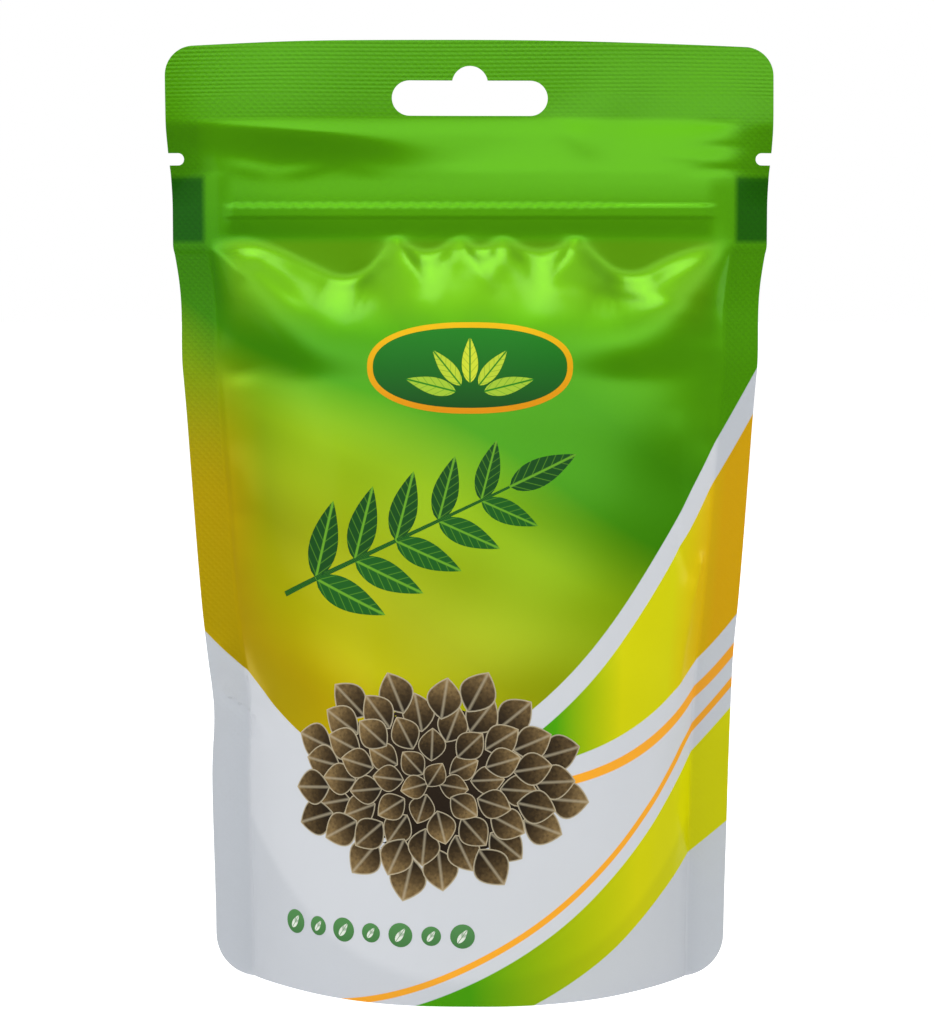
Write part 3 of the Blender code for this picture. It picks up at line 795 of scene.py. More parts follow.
def pressed_knurl(add, uv, cells, seal):
    """The sealing bars' diamond knurl, where the film is welded: how far it is, across or along, to the
    nearest point of a square grid that is turned to stand on its corners."""
    place = add("Mapping", {"Vector": uv, "Scale": cells, "Rotation": (0.0, 0.0, math.pi / 4)})
    inputs = {"Vector": place, "Scale": 1.0, "Randomness": 0.0}
    knurl = add("TexVoronoi", inputs, distance="CHEBYCHEV")
    return add("Math", {0: knurl, 1: seal}, operation="MULTIPLY")


def printed_film(name, colours):
    """Laminated pouch film: clear PET printed on its inside over aluminium-coated film. Clear green and
    yellow inks let the metal glow through, white ink underprinted elsewhere hides it, the PET puts a pale
    soft shine over both, and the seals carry the diamond knurl of the sealing bars, here 1.1 mm and coarser
    than life so that it shows. The colour also holds painted light: the seals are multiplied darker as
    painted shade, and a lighter lime is painted on the slope just below the zip as painted highlight."""
    look, add = new_material(name)
    uv = add("UVMap", uv_map="film")
    shapes = ("edge", "ribbon", "crescent", "clear")
    keys = (*shapes, "line", "low_line", "unborn", "right", "tint", "shoulder", "amber", "seal", "patch")
    read = {key: add("Attribute", attribute_name=key, out=2) for key in keys}
    inside = {
        key: add(
            "MapRange", {"Value": read[key], "From Min": -INK_BLUR, "From Max": INK_BLUR}
        ) for key in shapes
    }
    high = add("Math", {0: read["line"]}, operation="ABSOLUTE")
    high = add("Math", {0: read["unborn"], 1: 9.0, 2: high}, operation="MULTIPLY_ADD")
    low = add("Math", {0: read["low_line"]}, operation="ABSOLUTE")
    nearest = add("Math", {0: high, 1: low}, operation="MINIMUM")
    half = LINE_WIDTH / 2
    inside["line"] = add(
        "MapRange", {"Value": nearest, "From Min": half + INK_BLUR, "From Max": half - INK_BLUR}
    )
    field = add(
        "ValToRGB", {0: read["tint"]},
        stops=(
            (0.00, colours.header), (0.25, colours.header), (0.36, colours.green), (0.47, colours.green),
            (0.56, colours.lime), (0.72, colours.olive_yellow), (0.83, colours.yellow),
            (0.93, colours.gold)
        )
    )
    # The first mix paints a lighter lime on the slope below the zip as painted highlight; the second lays
    # the amber print down the left seal
    for key, ink in (("shoulder", colours.shoulder), ("amber", colours.amber)):
        field = add("Mix", {0: read[key], 6: field, 7: ink}, **COLOURS)
    ribbon = add(
        "ValToRGB", {0: read["right"]},
        stops=(
            (0.45, colours.deep_green), (0.64, colours.green), (0.76, colours.ribbon_yellow),
            (0.86, colours.ribbon_yellow), (0.96, colours.orange)
        )
    )
    crescent = add(
        "ValToRGB", {0: read["right"]},
        stops=((0.50, colours.green), (0.80, colours.ribbon_yellow), (1.0, colours.ribbon_yellow))
    )
    paint = colours.pearl
    inks = {"edge": field, "ribbon": ribbon, "line": colours.orange_line, "crescent": crescent}
    for key, ink in inks.items():
        paint = add("Mix", {0: inside[key], 6: paint, 7: ink}, **COLOURS)
    patch = add("Math", {0: read["patch"], 1: 0.85}, operation="MULTIPLY")
    paint = add("Mix", {0: patch, 6: paint, 7: colours.deep_green}, **COLOURS)
    # Painted shade: the colour is multiplied darker over the seals, and half as much along the gusset's
    # weld, standing in for the shade that the knurled, turned seal takes
    paint = add(
        "Mix", {0: read["seal"], 6: paint, 7: linear("#E6E8EA")}, blend_type="MULTIPLY", **COLOURS
    )
    grain = add("TexNoise", {"Vector": uv, "Scale": 160.0, "Detail": 3.0})
    satin = add("MapRange", {"Value": grain, "To Min": 0.30, "To Max": 0.38})
    rough = add("Math", {0: read["seal"], 1: 0.1, 2: satin}, operation="MULTIPLY_ADD")
    backed = add("Math", {0: inside["edge"], 1: inside["clear"]}, operation="ADD")
    metal = add("Math", {0: backed, 1: CLEAR_METAL}, operation="MULTIPLY")
    cells = (POUCH_WIDTH / MM / KNURL_PITCH, POUCH_HEIGHT / MM / KNURL_PITCH, 1.0)
    pressed = pressed_knurl(add, uv, cells, read["seal"])
    fine = add("Math", {0: grain, 1: 0.25}, operation="MULTIPLY")
    height = add("Math", {0: pressed, 1: fine}, operation="ADD")
    bump = add("Bump", {"Height": height, "Distance": 0.05 * MM, "Strength": 1.0})
    film = add(
        "BsdfPrincipled",
        {
            "Base Color": paint, "Metallic": metal, "Roughness": rough, "Normal": bump,
            "Specular IOR Level": 0.1, "Coat Weight": 0.5, "Coat Roughness": 0.14
        }
    )
    add("OutputMaterial", {0: film})
    return look


def metal_lining(name):
    """Aluminium-coated film: vacuum-deposited metal under clear polyethylene, a dull silver mirror."""
    look, add = new_material(name)
    uv = add("UVMap", uv_map="film")
    grain = add("TexNoise", {"Vector": uv, "Scale": 60.0, "Detail": 4.0})
    rough = add("MapRange", {"Value": grain, "To Min": 0.28, "To Max": 0.45})
    foil = add("BsdfPrincipled", {"Base Color": linear("#C9CCCE"), "Metallic": 1.0, "Roughness": rough})
    add("OutputMaterial", {0: foil})
    return look


def pearl_film(name, colours):
    """Gusset laminate: the walls' film with white ink alone, satin, with the bars' knurl on its welds."""
    look, add = new_material(name)
    uv = add("UVMap", uv_map="film")
    seal = add("Attribute", attribute_name="seal", out=2)
    grain = add("TexNoise", {"Vector": uv, "Scale": 90.0, "Detail": 3.0})
    rough = add("MapRange", {"Value": grain, "To Min": 0.34, "To Max": 0.48})
    shade = add("MapRange", {"Value": grain, "To Min": 0.0, "To Max": 0.25})
    paint = add("Mix", {0: shade, 6: colours.pearl, 7: linear("#AEB2B8")}, **COLOURS)
    height = pressed_knurl(add, uv, (113.0, 113.0, 1.0), seal)
    bump = add("Bump", {"Height": height, "Distance": 0.05 * MM, "Strength": 1.0})
    film = add("BsdfPrincipled", {"Base Color": paint, "Roughness": rough, "Normal": bump})
    add("OutputMaterial", {0: film})
    return look


def milky_polyethylene(name):
    """Natural polyethylene: extruded through a die, so milky, a little waxy and drawn into faint lines."""
    look, add = new_material(name)
    place = add("TexCoord", out="Object")
    drawn = add("Mapping", {"Vector": place, "Scale": (40.0, 4000.0, 4000.0)})
    lines = add("TexNoise", {"Vector": drawn, "Scale": 1.0, "Detail": 2.0})
    rough = add("MapRange", {"Value": lines, "To Min": 0.30, "To Max": 0.45})
    low, high = linear("#DDE2DF"), linear("#F1F3F0")
    shade = add("Mix", {0: lines, 6: low, 7: high}, **COLOURS)
    bump = add("Bump", {"Height": lines, "Distance": 0.02 * MM, "Strength": 0.6})
    strip = add(
        "BsdfPrincipled",
        {
            "Base Color": shade, "Roughness": rough, "Normal": bump, "IOR": 1.51,
            "Transmission Weight": 0.25
        }
    )
    add("OutputMaterial", {0: strip})
    return look


def seed_coat(name):
    """Dry seed coat: corky and matt, mottled brown, with pale papery wings where the ridges stand out."""
    look, add = new_material(name)
    place = add("TexCoord", out="Object")
    wing = add("Attribute", attribute_name="wing", out=2)
    tone = add("Attribute", attribute_name="tone", out=2)
    mottle = add("TexNoise", {"Vector": place, "Scale": 900.0, "Detail": 4.0})
    mixed = add("Math", {0: tone, 1: 0.5, 2: mottle}, operation="MULTIPLY_ADD")
    brown = add(
        "ValToRGB", {0: mixed},
        stops=(
            (0.30, linear("#21150A")), (0.55, linear("#3A2712")), (0.75, linear("#553D20")),
            (1.00, linear("#705536"))
        )
    )
    paper = add("MapRange", {"Value": wing, "From Min": 0.72, "From Max": 0.98, "To Max": 0.9})
    coat = add("Mix", {0: paper, 6: brown, 7: linear("#CDBE98")}, **COLOURS)
    rough = add("MapRange", {"Value": mottle, "To Min": 0.6, "To Max": 0.85})
    bump = add("Bump", {"Height": mottle, "Distance": 0.25 * MM, "Strength": 0.8})
    skin = add("BsdfPrincipled", {"Base Color": coat, "Roughness": rough, "Normal": bump})
    add("OutputMaterial", {0: skin})
    return look


def under_clear_film(add, paint, grain, metal=0.0):
    """Ends an ink's material with the clear film over it: an even satin that a fine grain unsettles."""
    rough = add("MapRange", {"Value": grain, "To Min": 0.36, "To Max": 0.46})
    inputs = {"Base Color": paint, "Metallic": metal, "Roughness": rough, "Specular IOR Level": 0.25}
    add("OutputMaterial", {0: add("BsdfPrincipled", inputs)})


def leaf_ink(name, dark, light, vein, veins):
    """Opaque gravure ink under the clear film: flat, in two close tones, with a thin lighter midrib and
    side veins left open in it. The UV holds the place along a leaf, and beside it, in leaf lengths."""
    look, add = new_material(name)
    uv = add("UVMap", uv_map="film")
    tone = add("Attribute", attribute_name="tone", out=2)
    along = add("SeparateXYZ", {0: uv})
    beside = add("SeparateXYZ", {0: uv}, out=1)
    away = add("Math", {0: beside}, operation="ABSOLUTE")
    swept = add("Math", {0: away, 1: -1.2, 2: along}, operation="MULTIPLY_ADD")
    turns = add("Math", {0: swept, 1: 2 * math.pi * veins}, operation="MULTIPLY")
    wave = add("Math", {0: turns}, operation="SINE")
    side = add("MapRange", {"Value": wave, "From Min": 0.86, "To Max": 0.55})
    rib = add("MapRange", {"Value": away, "From Min": 0.022, "From Max": 0.010})
    open_ink = add("Math", {0: side, 1: rib}, operation="MAXIMUM")
    ink = add("Mix", {0: tone, 6: dark, 7: light}, **COLOURS)
    paint = add("Mix", {0: open_ink, 6: ink, 7: vein}, **COLOURS)
    grain = add("TexNoise", {"Vector": uv, "Scale": 30.0, "Detail": 3.0})
    under_clear_film(add, paint, grain)
    return look


def scale_ink(name):
    """Opaque brown inks under the clear film, laid as halftones: each scale is dark where the next one
    covers its foot, warm along its back, and edged with a fine pale line."""
    look, add = new_material(name)
    uv = add("UVMap", uv_map="film")
    tone = add("Attribute", attribute_name="tone", out=2)
    rim = add("Attribute", attribute_name="rim", out=2)
    along = add("SeparateXYZ", {0: uv})
    beside = add("SeparateXYZ", {0: uv}, out=1)
    away = add("Math", {0: beside}, operation="ABSOLUTE")
    rib = add("MapRange", {"Value": away, "From Min": 0.05, "From Max": 0.0, "To Max": 0.5})
    edge = add("MapRange", {"Value": rim, "From Min": 0.90, "From Max": 0.97, "To Max": 0.75})
    pale = add("Math", {0: rib, 1: edge}, operation="MAXIMUM")
    grain = add("TexNoise", {"Vector": uv, "Scale": 9.0, "Detail": 3.0})
    spread = add("Math", {0: tone, 1: 0.45, 2: grain}, operation="MULTIPLY_ADD")
    lit = add("Math", {0: spread, 1: along}, operation="MULTIPLY")
    brown = add(
        "ValToRGB", {0: lit},
        stops=(
            (0.05, linear("#1A1208")), (0.25, linear("#362811")), (0.50, linear("#584526")),
            (0.80, linear("#80683F"))
        )
    )
    paint = add("Mix", {0: pale, 6: brown, 7: linear("#B9AE92")}, **COLOURS)
    under_clear_film(add, paint, grain)
    return look


def flat_ink(name, low, high, metal=0.0):
    """Gravure ink in one soft gradient across its shape, under the same clear film. Clear ink over the
    metal is given as part metal."""
    look, add = new_material(name)
    uv = add("UVMap", uv_map="film")
    beside = add("SeparateXYZ", {0: uv}, out=1)
    share = add("MapRange", {"Value": beside, "From Min": -0.5, "From Max": 0.5})
    paint = add("Mix", {0: share, 6: low, 7: high}, **COLOURS)
    grain = add("TexNoise", {"Vector": uv, "Scale": 40.0, "Detail": 3.0})
    under_clear_film(add, paint, grain, metal)
    return look


def length_property(label, words, default, low=0.0, high=10.0):
    """A length setting, in metres."""
    return FloatProperty(
        name=label, description=words, default=default, min=low, max=high, precision=5, unit="LENGTH"
    )


def share_property(label, words, high):
    """A setting that scales something, and is 1 for the pouch as it is."""
    return FloatProperty(name=label, description=words, default=1.0, min=0.0, max=high, subtype="FACTOR")


class FilmSettings(bpy.types.PropertyGroup):
    """The film's thickness and the marks pressed into it."""

    thickness: length_property(
        "Film thickness", "Thickness of one printed wall", 0.12 * MM, 0.05 * MM, 0.25 * MM
    )
    weld_gap: length_property("Weld gap", "Half the gap between the walls where they are welded", 0.01 * MM)
    crease_strength: share_property(
        "Crease strength", "How far the folds, dents and marks stand out, as a share of the real pouch's",
        1.5
    )
    rib_pitch: length_property(
        "Rib pitch", "Distance between the ribs pressed into the top seal", 0.85 * MM, 0.4 * MM
    )
    rib_height: length_property("Rib height", "How far a rib stands out of its groove", 0.028 * MM)


def colour_property(label, words, hex_colour):
    """A colour setting whose default is given as sRGB hex."""
    return FloatVectorProperty(
        name=label, description=words, default=linear(hex_colour), size=3, min=0.0, max=1.0,
        subtype="COLOR"
    )


class PrintColours(bpy.types.PropertyGroup):
    """The inks of the print, and a lighter lime painted as highlight below the zip."""

    header: colour_property("Header green", "Clear green ink at the top", "#68C600")
    green: colour_property("Green", "Clear green ink on the right and in the middle", "#52B000")
    # Painted highlight: a lighter lime painted on the slope just below the zip, where it faces the top
    # lamp, rather than an ink of the print
    shoulder: colour_property("Shoulder lime", "Clear ink just below the zip", "#74C000")
    lime: colour_property("Lime", "Where the green turns to yellow", "#A4D200")
    olive_yellow: colour_property("Yellow green", "Half way down the left side", "#BECA00")
    yellow: colour_property("Yellow", "Near the foot of the sweep", "#E4E000")
    gold: colour_property("Gold", "At the foot of the sweep", "#F6D800")
    amber: colour_property("Amber", "Down the left side seal", "#F4D000")
    ribbon_yellow: colour_property("Ribbon yellow", "Middle of the ribbon and the crescent", "#E6E400")
    orange: colour_property("Orange", "At the wide end of the ribbon", "#F0B800")
    orange_line: colour_property("Line orange", "Opaque ink of the thin lines", "#EBA022")
    deep_green: colour_property("Deep green", "The flattened ends of the zip in the side seals", "#046C00")
    dark_green: colour_property("Dark green", "Opaque ink of the sprig and the medallion", "#063F08")
    leaf_green: colour_property("Leaf green", "Opaque ink of the discs", "#3E733C")
    pearl: colour_property("White", "White ink under the lower part of the print", "#C3C6CB")


class SeedSettings(bpy.types.PropertyGroup):
    """The loose seeds in the bag."""

    radius: length_property("Seed radius", "Radius of a seed without its wings", 4.1 * MM, 2 * MM)
    fill: length_property("Fill level", "How far up the film the seeds reach", 50 * MM, 20 * MM, 90 * MM)
    draw: IntProperty(name="Draw", description="Which random heap is drawn", default=7, min=0)


class StageSettings(bpy.types.PropertyGroup):
    """The floor, the light and the camera."""

    floor: colour_property("Floor", "The plain floor", "#F2F2F2")
    light: share_property("Light", "Strength of all the lamps, as a share", 4.0)
    distance: length_property("Camera distance", "From the camera to the pouch's middle", 0.6, 0.3)
    lens: FloatProperty(name="Lens", description="Focal length in millimetres", default=101.85, min=20.0)


def front_wall(film):
    """The wall that the front shows."""
    return Wall(-1, FRONT_TUCKS, FRONT_CREASES, FRONT_DENTS, 5, film)


def back_wall(film):
    """The wall behind, with folds of its own."""
    return Wall(1, BACK_TUCKS, BACK_CREASES, BACK_DENTS, 11, film)


def oval_outline(steps, power=2.0):
    """A unit oval, anticlockwise: the sine and cosine of the angle, each to two over the power."""
    angle = np.linspace(0, 2 * math.pi, steps, endpoint=False)
    points = np.stack((np.cos(angle), np.sin(angle)), axis=-1)
    return np.sign(points) * np.abs(points) ** (2 / power)


def evened(outline, count):
    """The same closed outline as count points at even distances along it."""
    closed = np.concatenate((outline, outline[:1]))
    length = np.concatenate(([0.0], np.cumsum(np.linalg.norm(np.diff(closed, axis=0), axis=1))))
    at = np.linspace(0, length[-1], count, endpoint=False)
    return np.stack([np.interp(at, length, closed[:, axis]) for axis in (0, 1)], axis=-1)


def leaf_outline(half_width, steps=14, fullness=0.75):
    """A leaf from 0 to 1 along its midrib, anticlockwise: its half width is a power of the sine of pi times
    the place along it, and fullness moves the widest part towards the stalk."""
    t = np.linspace(0, 1, steps + 1)
    half = half_width * np.clip(np.sin(math.pi * t**fullness), 0, 1) ** 0.9
    under = np.stack((t, -half), axis=-1)
    over = np.stack((t, half), axis=-1)[-2:0:-1]
    return np.concatenate((under, over))


def set_out(outline, places, lengths, turns):
    """Copies of an outline, each scaled, turned and moved to its place: (copies, points, 2)."""
    c, s = np.cos(turns)[:, None], np.sin(turns)[:, None]
    x, y = outline[None, :, 0] * lengths[:, None], outline[None, :, 1] * lengths[:, None]
    return np.stack((x * c - y * s, x * s + y * c), axis=-1) + np.asarray(places, float)[:, None, :]


# How far a sheet of ink sinks into the film, in mm
INK_SINK = 0.02


def ink_piece(name, wall, outlines, local, rings, lift, look, tones=0.5):
    """A printed motif laid on a wall: each outline is filled with rings that shrink to its middle, and
    every point goes to its place on the film. Outlines are in mm of flat film, and local is the same
    outline in the motif's own units, for the UV. The sheet is closed by a thickness of its own that sinks
    into the film."""
    shares = np.linspace(1, 1 / rings, rings)[None, :, None, None]
    middles = outlines.mean(axis=1)[:, None, None, :]
    flat = middles + (outlines[:, None] - middles) * shares
    own = local.mean(axis=0) + (local[None, None] - local.mean(axis=0)) * shares
    own = np.broadcast_to(own, flat.shape)
    copies, _, count = flat.shape[:3]
    ids = np.arange(copies * rings * count).reshape(copies, rings, count)
    closed = np.concatenate((ids, ids[:, :, :1]), axis=2)
    points = wall.skin(flat[..., 0] * MM, flat[..., 1] * MM, lift * MM)
    tone = np.broadcast_to(np.asarray(tones, float).reshape(-1, 1, 1), ids.shape)
    groups = [np.concatenate([quads(grid) for grid in closed]), ids[:, -1]]
    rim = np.broadcast_to(shares[..., 0], ids.shape)
    piece = mesh_piece(name, points, groups, [0, 0], [look], own, {"tone": tone, "rim": rim})
    body = piece.modifiers.new("ink", "SOLIDIFY")
    body.thickness = (lift + INK_SINK) * MM
    body.offset = -1.0
    apply_modifiers(piece)
    piece.data.set_sharp_from_angle(angle=SHARP_ANGLE)
    settle(piece, "front_film" if wall.side < 0 else "back_film")


class POUCH_OT_front(bpy.types.Operator):
    """The front wall: printed film, folded under the zip, ribbed at the top and cut for hanging"""

    bl_idname = "pouch.front"
    bl_label = "Front film"

    def execute(self, context):
        wall, inks = front_wall(context.scene.pouch_film), context.scene.pouch_print
        looks = printed_film("printed_laminate_front", inks), metal_lining("metal_lining_front")
        piece = film_piece("front_film", wall, print_fields, looks)
        trim(piece, wall, print_fields)
        settle(piece, "front_film", "front_wall")
        return {"FINISHED"}


class POUCH_OT_back(bpy.types.Operator):
    """The back wall: the same film with its print carried on round the sides"""

    bl_idname = "pouch.back"
    bl_label = "Back film"

    def execute(self, context):
        wall, inks = back_wall(context.scene.pouch_film), context.scene.pouch_print
        looks = printed_film("printed_laminate_back", inks), metal_lining("metal_lining_back")
        piece = film_piece("back_film", wall, mirrored_print, looks)
        trim(piece, wall, mirrored_print)
        settle(piece, "back_film", "back_wall")
        return {"FINISHED"}


def gusset_points(film):
    """The gusset from front to back: up the inside of the front wall to the weld's edge, over the floor,
    which lifts to meet each wall as a square, and down the inside of the back wall."""
    columns = np.linspace(-1, 1, 121) * BAG_HALF * GUSSET_REACH
    share = np.abs(columns) / BAG_HALF
    weld = weld_height(columns)
    floor = np.clip(weld - GUSSET_DROP * (1 - share**4), 0, None) + film.thickness / 2
    inward = film.thickness + 2 * film.weld_gap
    steps = np.linspace(0, 1, 13)[:, None]
    front = front_wall(film).place(columns + 0 * steps, weld * steps)
    back = back_wall(film).place(-columns + 0 * steps, weld * steps)
    front[..., 1] += inward
    back[..., 1] -= inward
    reach = np.linspace(1, -1, 49)[1:-1, None]
    lift = (np.clip(np.abs(reach) - GUSSET_FLAT, 0, None) / (1 - GUSSET_FLAT)) ** 2
    edge = np.where(reach[..., None] > 0, front[-1], back[-1])
    x = front[-1, :, 0] * (1 + reach) / 2 + back[-1, :, 0] * (1 - reach) / 2
    over = np.stack((x, edge[..., 1] * np.abs(reach), floor + (edge[..., 2] - floor) * lift), axis=-1)
    points = np.concatenate((front, over, back[::-1]))
    welded = np.concatenate((np.ones(len(front)), np.zeros(len(over)), np.ones(len(back))))
    return points, welded[:, None] + 0 * columns


class POUCH_OT_gusset(bpy.types.Operator):
    """The bottom gusset: a third film welded inside both walls and opened into the base"""

    bl_idname = "pouch.gusset"
    bl_label = "Bottom gusset"

    def execute(self, context):
        film = context.scene.pouch_film
        points, welded = gusset_points(film)
        rows, columns = points.shape[:2]
        flat = np.stack(np.meshgrid(np.linspace(0, 1, columns), np.linspace(0, 1, rows)), axis=-1)
        look = pearl_film("pearl_laminate", context.scene.pouch_print)
        faces = quads(lattice(rows, columns))[:, ::-1]
        piece = mesh_piece("gusset_film", points, [faces], [0], [look], flat, {"seal": welded})
        body = piece.modifiers.new("film", "SOLIDIFY")
        body.thickness = film.thickness
        body.offset = 0.0
        apply_modifiers(piece)
        piece.data.set_sharp_from_angle(angle=math.radians(60))
        settle(piece, "gusset_film", "bottom_gusset")
        return {"FINISHED"}


class POUCH_OT_zip(bpy.types.Operator):
    """The zip's two strips: the packed solids, of milky polyethylene"""

    bl_idname = "pouch.zip"
    bl_label = "Zip strips"

    def execute(self, context):
        for node in ("zip_groove_strip", "zip_ridge_strip"):
            look = milky_polyethylene(f"polyethylene_{node}")
            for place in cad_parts[node].material_slots:
                place.material = look
        return {"FINISHED"}


SEED_SIDES = 9
SEED_RINGS = 4
# In seed radii: from a seed to the next, and from its middle to the tip of a wing with room to spare
SEED_PITCH = 2.06
SEED_REACH = 1.22


def seed_shape():
    """A seed of radius one: a ball whose every third meridian stands out as a papery wing. (points, wing
    shares, faces), with one point at each pole."""
    tilt = np.linspace(0, math.pi, SEED_RINGS + 2)[1:-1, None]
    turn = np.arange(SEED_SIDES)[None, :] * 2 * math.pi / SEED_SIDES
    wing = (np.arange(SEED_SIDES) % 3 == 0)[None, :] * np.sin(tilt)
    reach = np.sin(tilt) * (0.90 + 0.30 * wing)
    ball = np.stack((reach * np.cos(turn), reach * np.sin(turn), np.cos(tilt) + 0 * turn), axis=-1)
    points = np.concatenate((ball.reshape(-1, 3), [(0, 0, 1.0), (0, 0, -1.0)]))
    ids = lattice(SEED_RINGS, SEED_SIDES)
    closed = np.concatenate((ids, ids[:, :1]), axis=1)
    top, foot = len(points) - 2, len(points) - 1
    caps = [(a, b, top) for a, b in zip(closed[0], closed[0, 1:])]
    caps += [(b, a, foot) for a, b in zip(closed[-1], closed[-1, 1:])]
    return points, np.concatenate((wing.ravel(), [0.4, 0.4])), quads(closed)[:, ::-1], np.array(caps)


def heap_places(radius, fill, draw):
    """Middles of the seeds: close-packed layers, moved a little at random, where a seed clears the walls
    and the gusset."""
    pitch = radius * SEED_PITCH
    k, j, i = np.meshgrid(np.arange(12), np.arange(-8, 9), np.arange(-9, 10), indexing="ij")
    x = (i + 0.5 * (j % 2) + 0.5 * (k % 2)) * pitch
    y = (j * 0.866 + (k % 2) * 0.289) * pitch
    places = np.stack((x, y, radius + k * pitch * 0.816), axis=-1).reshape(-1, 3)
    places += draw.uniform(-0.06, 0.06, places.shape) * pitch
    up = up_at(places[:, 2])
    chord = read_table(SECTION_X, np.full(len(up), BAG_HALF), up)
    share = np.clip(np.abs(places[:, 0]) / chord, 0, 1)
    room = through(DEPTH, up) * (1 - share**BODY_SQUARENESS)
    reach = radius * SEED_REACH
    fits = (np.abs(places[:, 1]) + reach < room) & (up < fill - radius / 2)
    return places[fits & (places[:, 2] - reach > weld_height(share * BAG_HALF))]


def turned(draw, count):
    """Random turns as matrices, from random unit quaternions."""
    q = draw.normal(size=(count, 4))
    w, x, y, z = (q / np.linalg.norm(q, axis=1, keepdims=True)).T
    return np.stack(
        (
            np.stack((1 - 2 * (y * y + z * z), 2 * (x * y - z * w), 2 * (x * z + y * w)), axis=-1),
            np.stack((2 * (x * y + z * w), 1 - 2 * (x * x + z * z), 2 * (y * z - x * w)), axis=-1),
            np.stack((2 * (x * z - y * w), 2 * (y * z + x * w), 1 - 2 * (x * x + y * y)), axis=-1)
        ),
        axis=-2
    )


class POUCH_OT_seeds(bpy.types.Operator):
    """The loose seeds: three-winged, close together, over the gusset"""

    bl_idname = "pouch.seeds"
    bl_label = "Seeds"

    def execute(self, context):
        settings = context.scene.pouch_seeds
        draw = np.random.default_rng(settings.draw)
        points, wing, sides, caps = seed_shape()
        places = heap_places(settings.radius, settings.fill, draw)
        count = len(places)
        scale = settings.radius * draw.uniform(0.94, 1.04, (count, 1, 1))
        heap = np.einsum("sab,pb->spa", turned(draw, count), points) * scale + places[:, None]
        first = (np.arange(count) * len(points))[:, None, None]
        faces = [(sides[None] + first).reshape(-1, 4), (caps[None] + first).reshape(-1, 3)]
        tone = np.repeat(draw.uniform(0, 1, count), len(points))
        look = seed_coat("winged_seed_coat")
        values = {"wing": np.tile(wing, count), "tone": tone}
        piece = mesh_piece("loose_seeds", heap, faces, [0, 0], [look], values=values)
        settle(piece, "seed_coat", "seeds")
        return {"FINISHED"}


# The medallion's middle and half axes, in mm of flat film
MEDALLION = (0.0, 130.6)
MEDALLION_AXES = np.array([21.0, 9.6])
RIM_WIDTH = 1.2


class POUCH_OT_medallion(bpy.types.Operator):
    """A plain dark oval with a gold rim and five leaves, near the top of the bag"""

    bl_idname = "pouch.medallion"
    bl_label = "Medallion"

    def execute(self, context):
        wall = front_wall(context.scene.pouch_film)
        oval = oval_outline(96, 2.3)
        rim = flat_ink("gold_ink", linear("#DB8B00"), linear("#E9B800"), 0.3)
        ground = flat_ink("dark_green_ink", linear("#05480A"), linear("#0F7A08"))
        ink_piece("medallion_rim", wall, (oval * MEDALLION_AXES + MEDALLION)[None], oval / 2, 18, 0.05, rim)
        inner = oval * (MEDALLION_AXES - RIM_WIDTH) + MEDALLION
        ink_piece("medallion_ground", wall, inner[None], oval / 2, 18, 0.08, ground)
        fan = np.radians(np.array([90, 52, 128, 14, 166]))
        lengths = np.array([9.8, 9.4, 9.4, 10.6, 10.6])
        places = np.array(MEDALLION) + np.stack((2.9 * np.cos(fan), 2.3 * np.sin(fan) - 5.6), axis=-1)
        leaf = leaf_outline(0.17)
        look = leaf_ink("lime_ink", linear("#8BB52A"), linear("#C4D02A"), linear("#0F7A08"), 6)
        tones = np.array([1.0, 0.6, 0.6, 0.2, 0.2])
        ink_piece("medallion_leaves", wall, set_out(leaf, places, lengths, fan), leaf, 4, 0.10, look, tones)
        return {"FINISHED"}


# The sprig: its stem's ends in mm, the leaflets' pairs, and how far they turn from the stem
SPRIG_FOOT = (-40.0, 83.0)
SPRIG_TIP = (8.0, 106.0)
SPRIG_PAIRS = 5
SPRIG_TURN = math.radians(50)


def sprig_leaves(foot, tip, size):
    """Places, lengths and turns of a sprig's leaflets: pairs that shrink towards the tip, and one at it."""
    foot, tip = np.array(foot), np.array(tip)
    lean = math.atan2(*(tip - foot)[::-1])
    share = np.repeat(np.linspace(0.16, 0.88, SPRIG_PAIRS), 2)
    side = np.tile([1, -1], SPRIG_PAIRS)
    places = foot + (tip - foot) * np.append(share, 1.0)[:, None]
    lengths = size * np.append(1.1 - 0.35 * share, 0.95)
    turns = lean + np.append(side * SPRIG_TURN, 0.0)
    return places, lengths, turns


def stem_outline(foot, tip, width, steps=24):
    """A stem that thins towards its tip, anticlockwise."""
    foot, tip = np.array(foot), np.array(tip)
    along = tip - foot
    beside = np.array([-along[1], along[0]]) / np.linalg.norm(along)
    share = np.linspace(0, 1, steps + 1)[:, None]
    half = width / 2 * (1 - 0.55 * share)
    line = foot + along * share
    return np.concatenate((line - beside * half, (line + beside * half)[::-1]))


def lay_sprig(name, wall, foot, tip, size, lift, look):
    """A sprig of plain leaflets on a wall: the leaflets, and the stem as a piece of its own."""
    leaf = leaf_outline(0.19)
    outlines = set_out(leaf, *sprig_leaves(foot, tip, size))
    ink_piece(f"{name}_leaves", wall, outlines, leaf, 5, lift, look, np.tile([0.2, 0.7], 6)[:11])
    stem = stem_outline(foot, tip, size * 0.07)
    right, left = stem[: len(stem) // 2], stem[len(stem) // 2 :][::-1]
    cells = np.stack((right[:-1], right[1:], left[1:], left[:-1]), axis=1)
    square = np.array([(0.1, -0.3), (0.9, -0.3), (0.9, -0.2), (0.1, -0.2)])
    ink_piece(f"{name}_stem", wall, cells, square, 1, lift + 0.005, look)


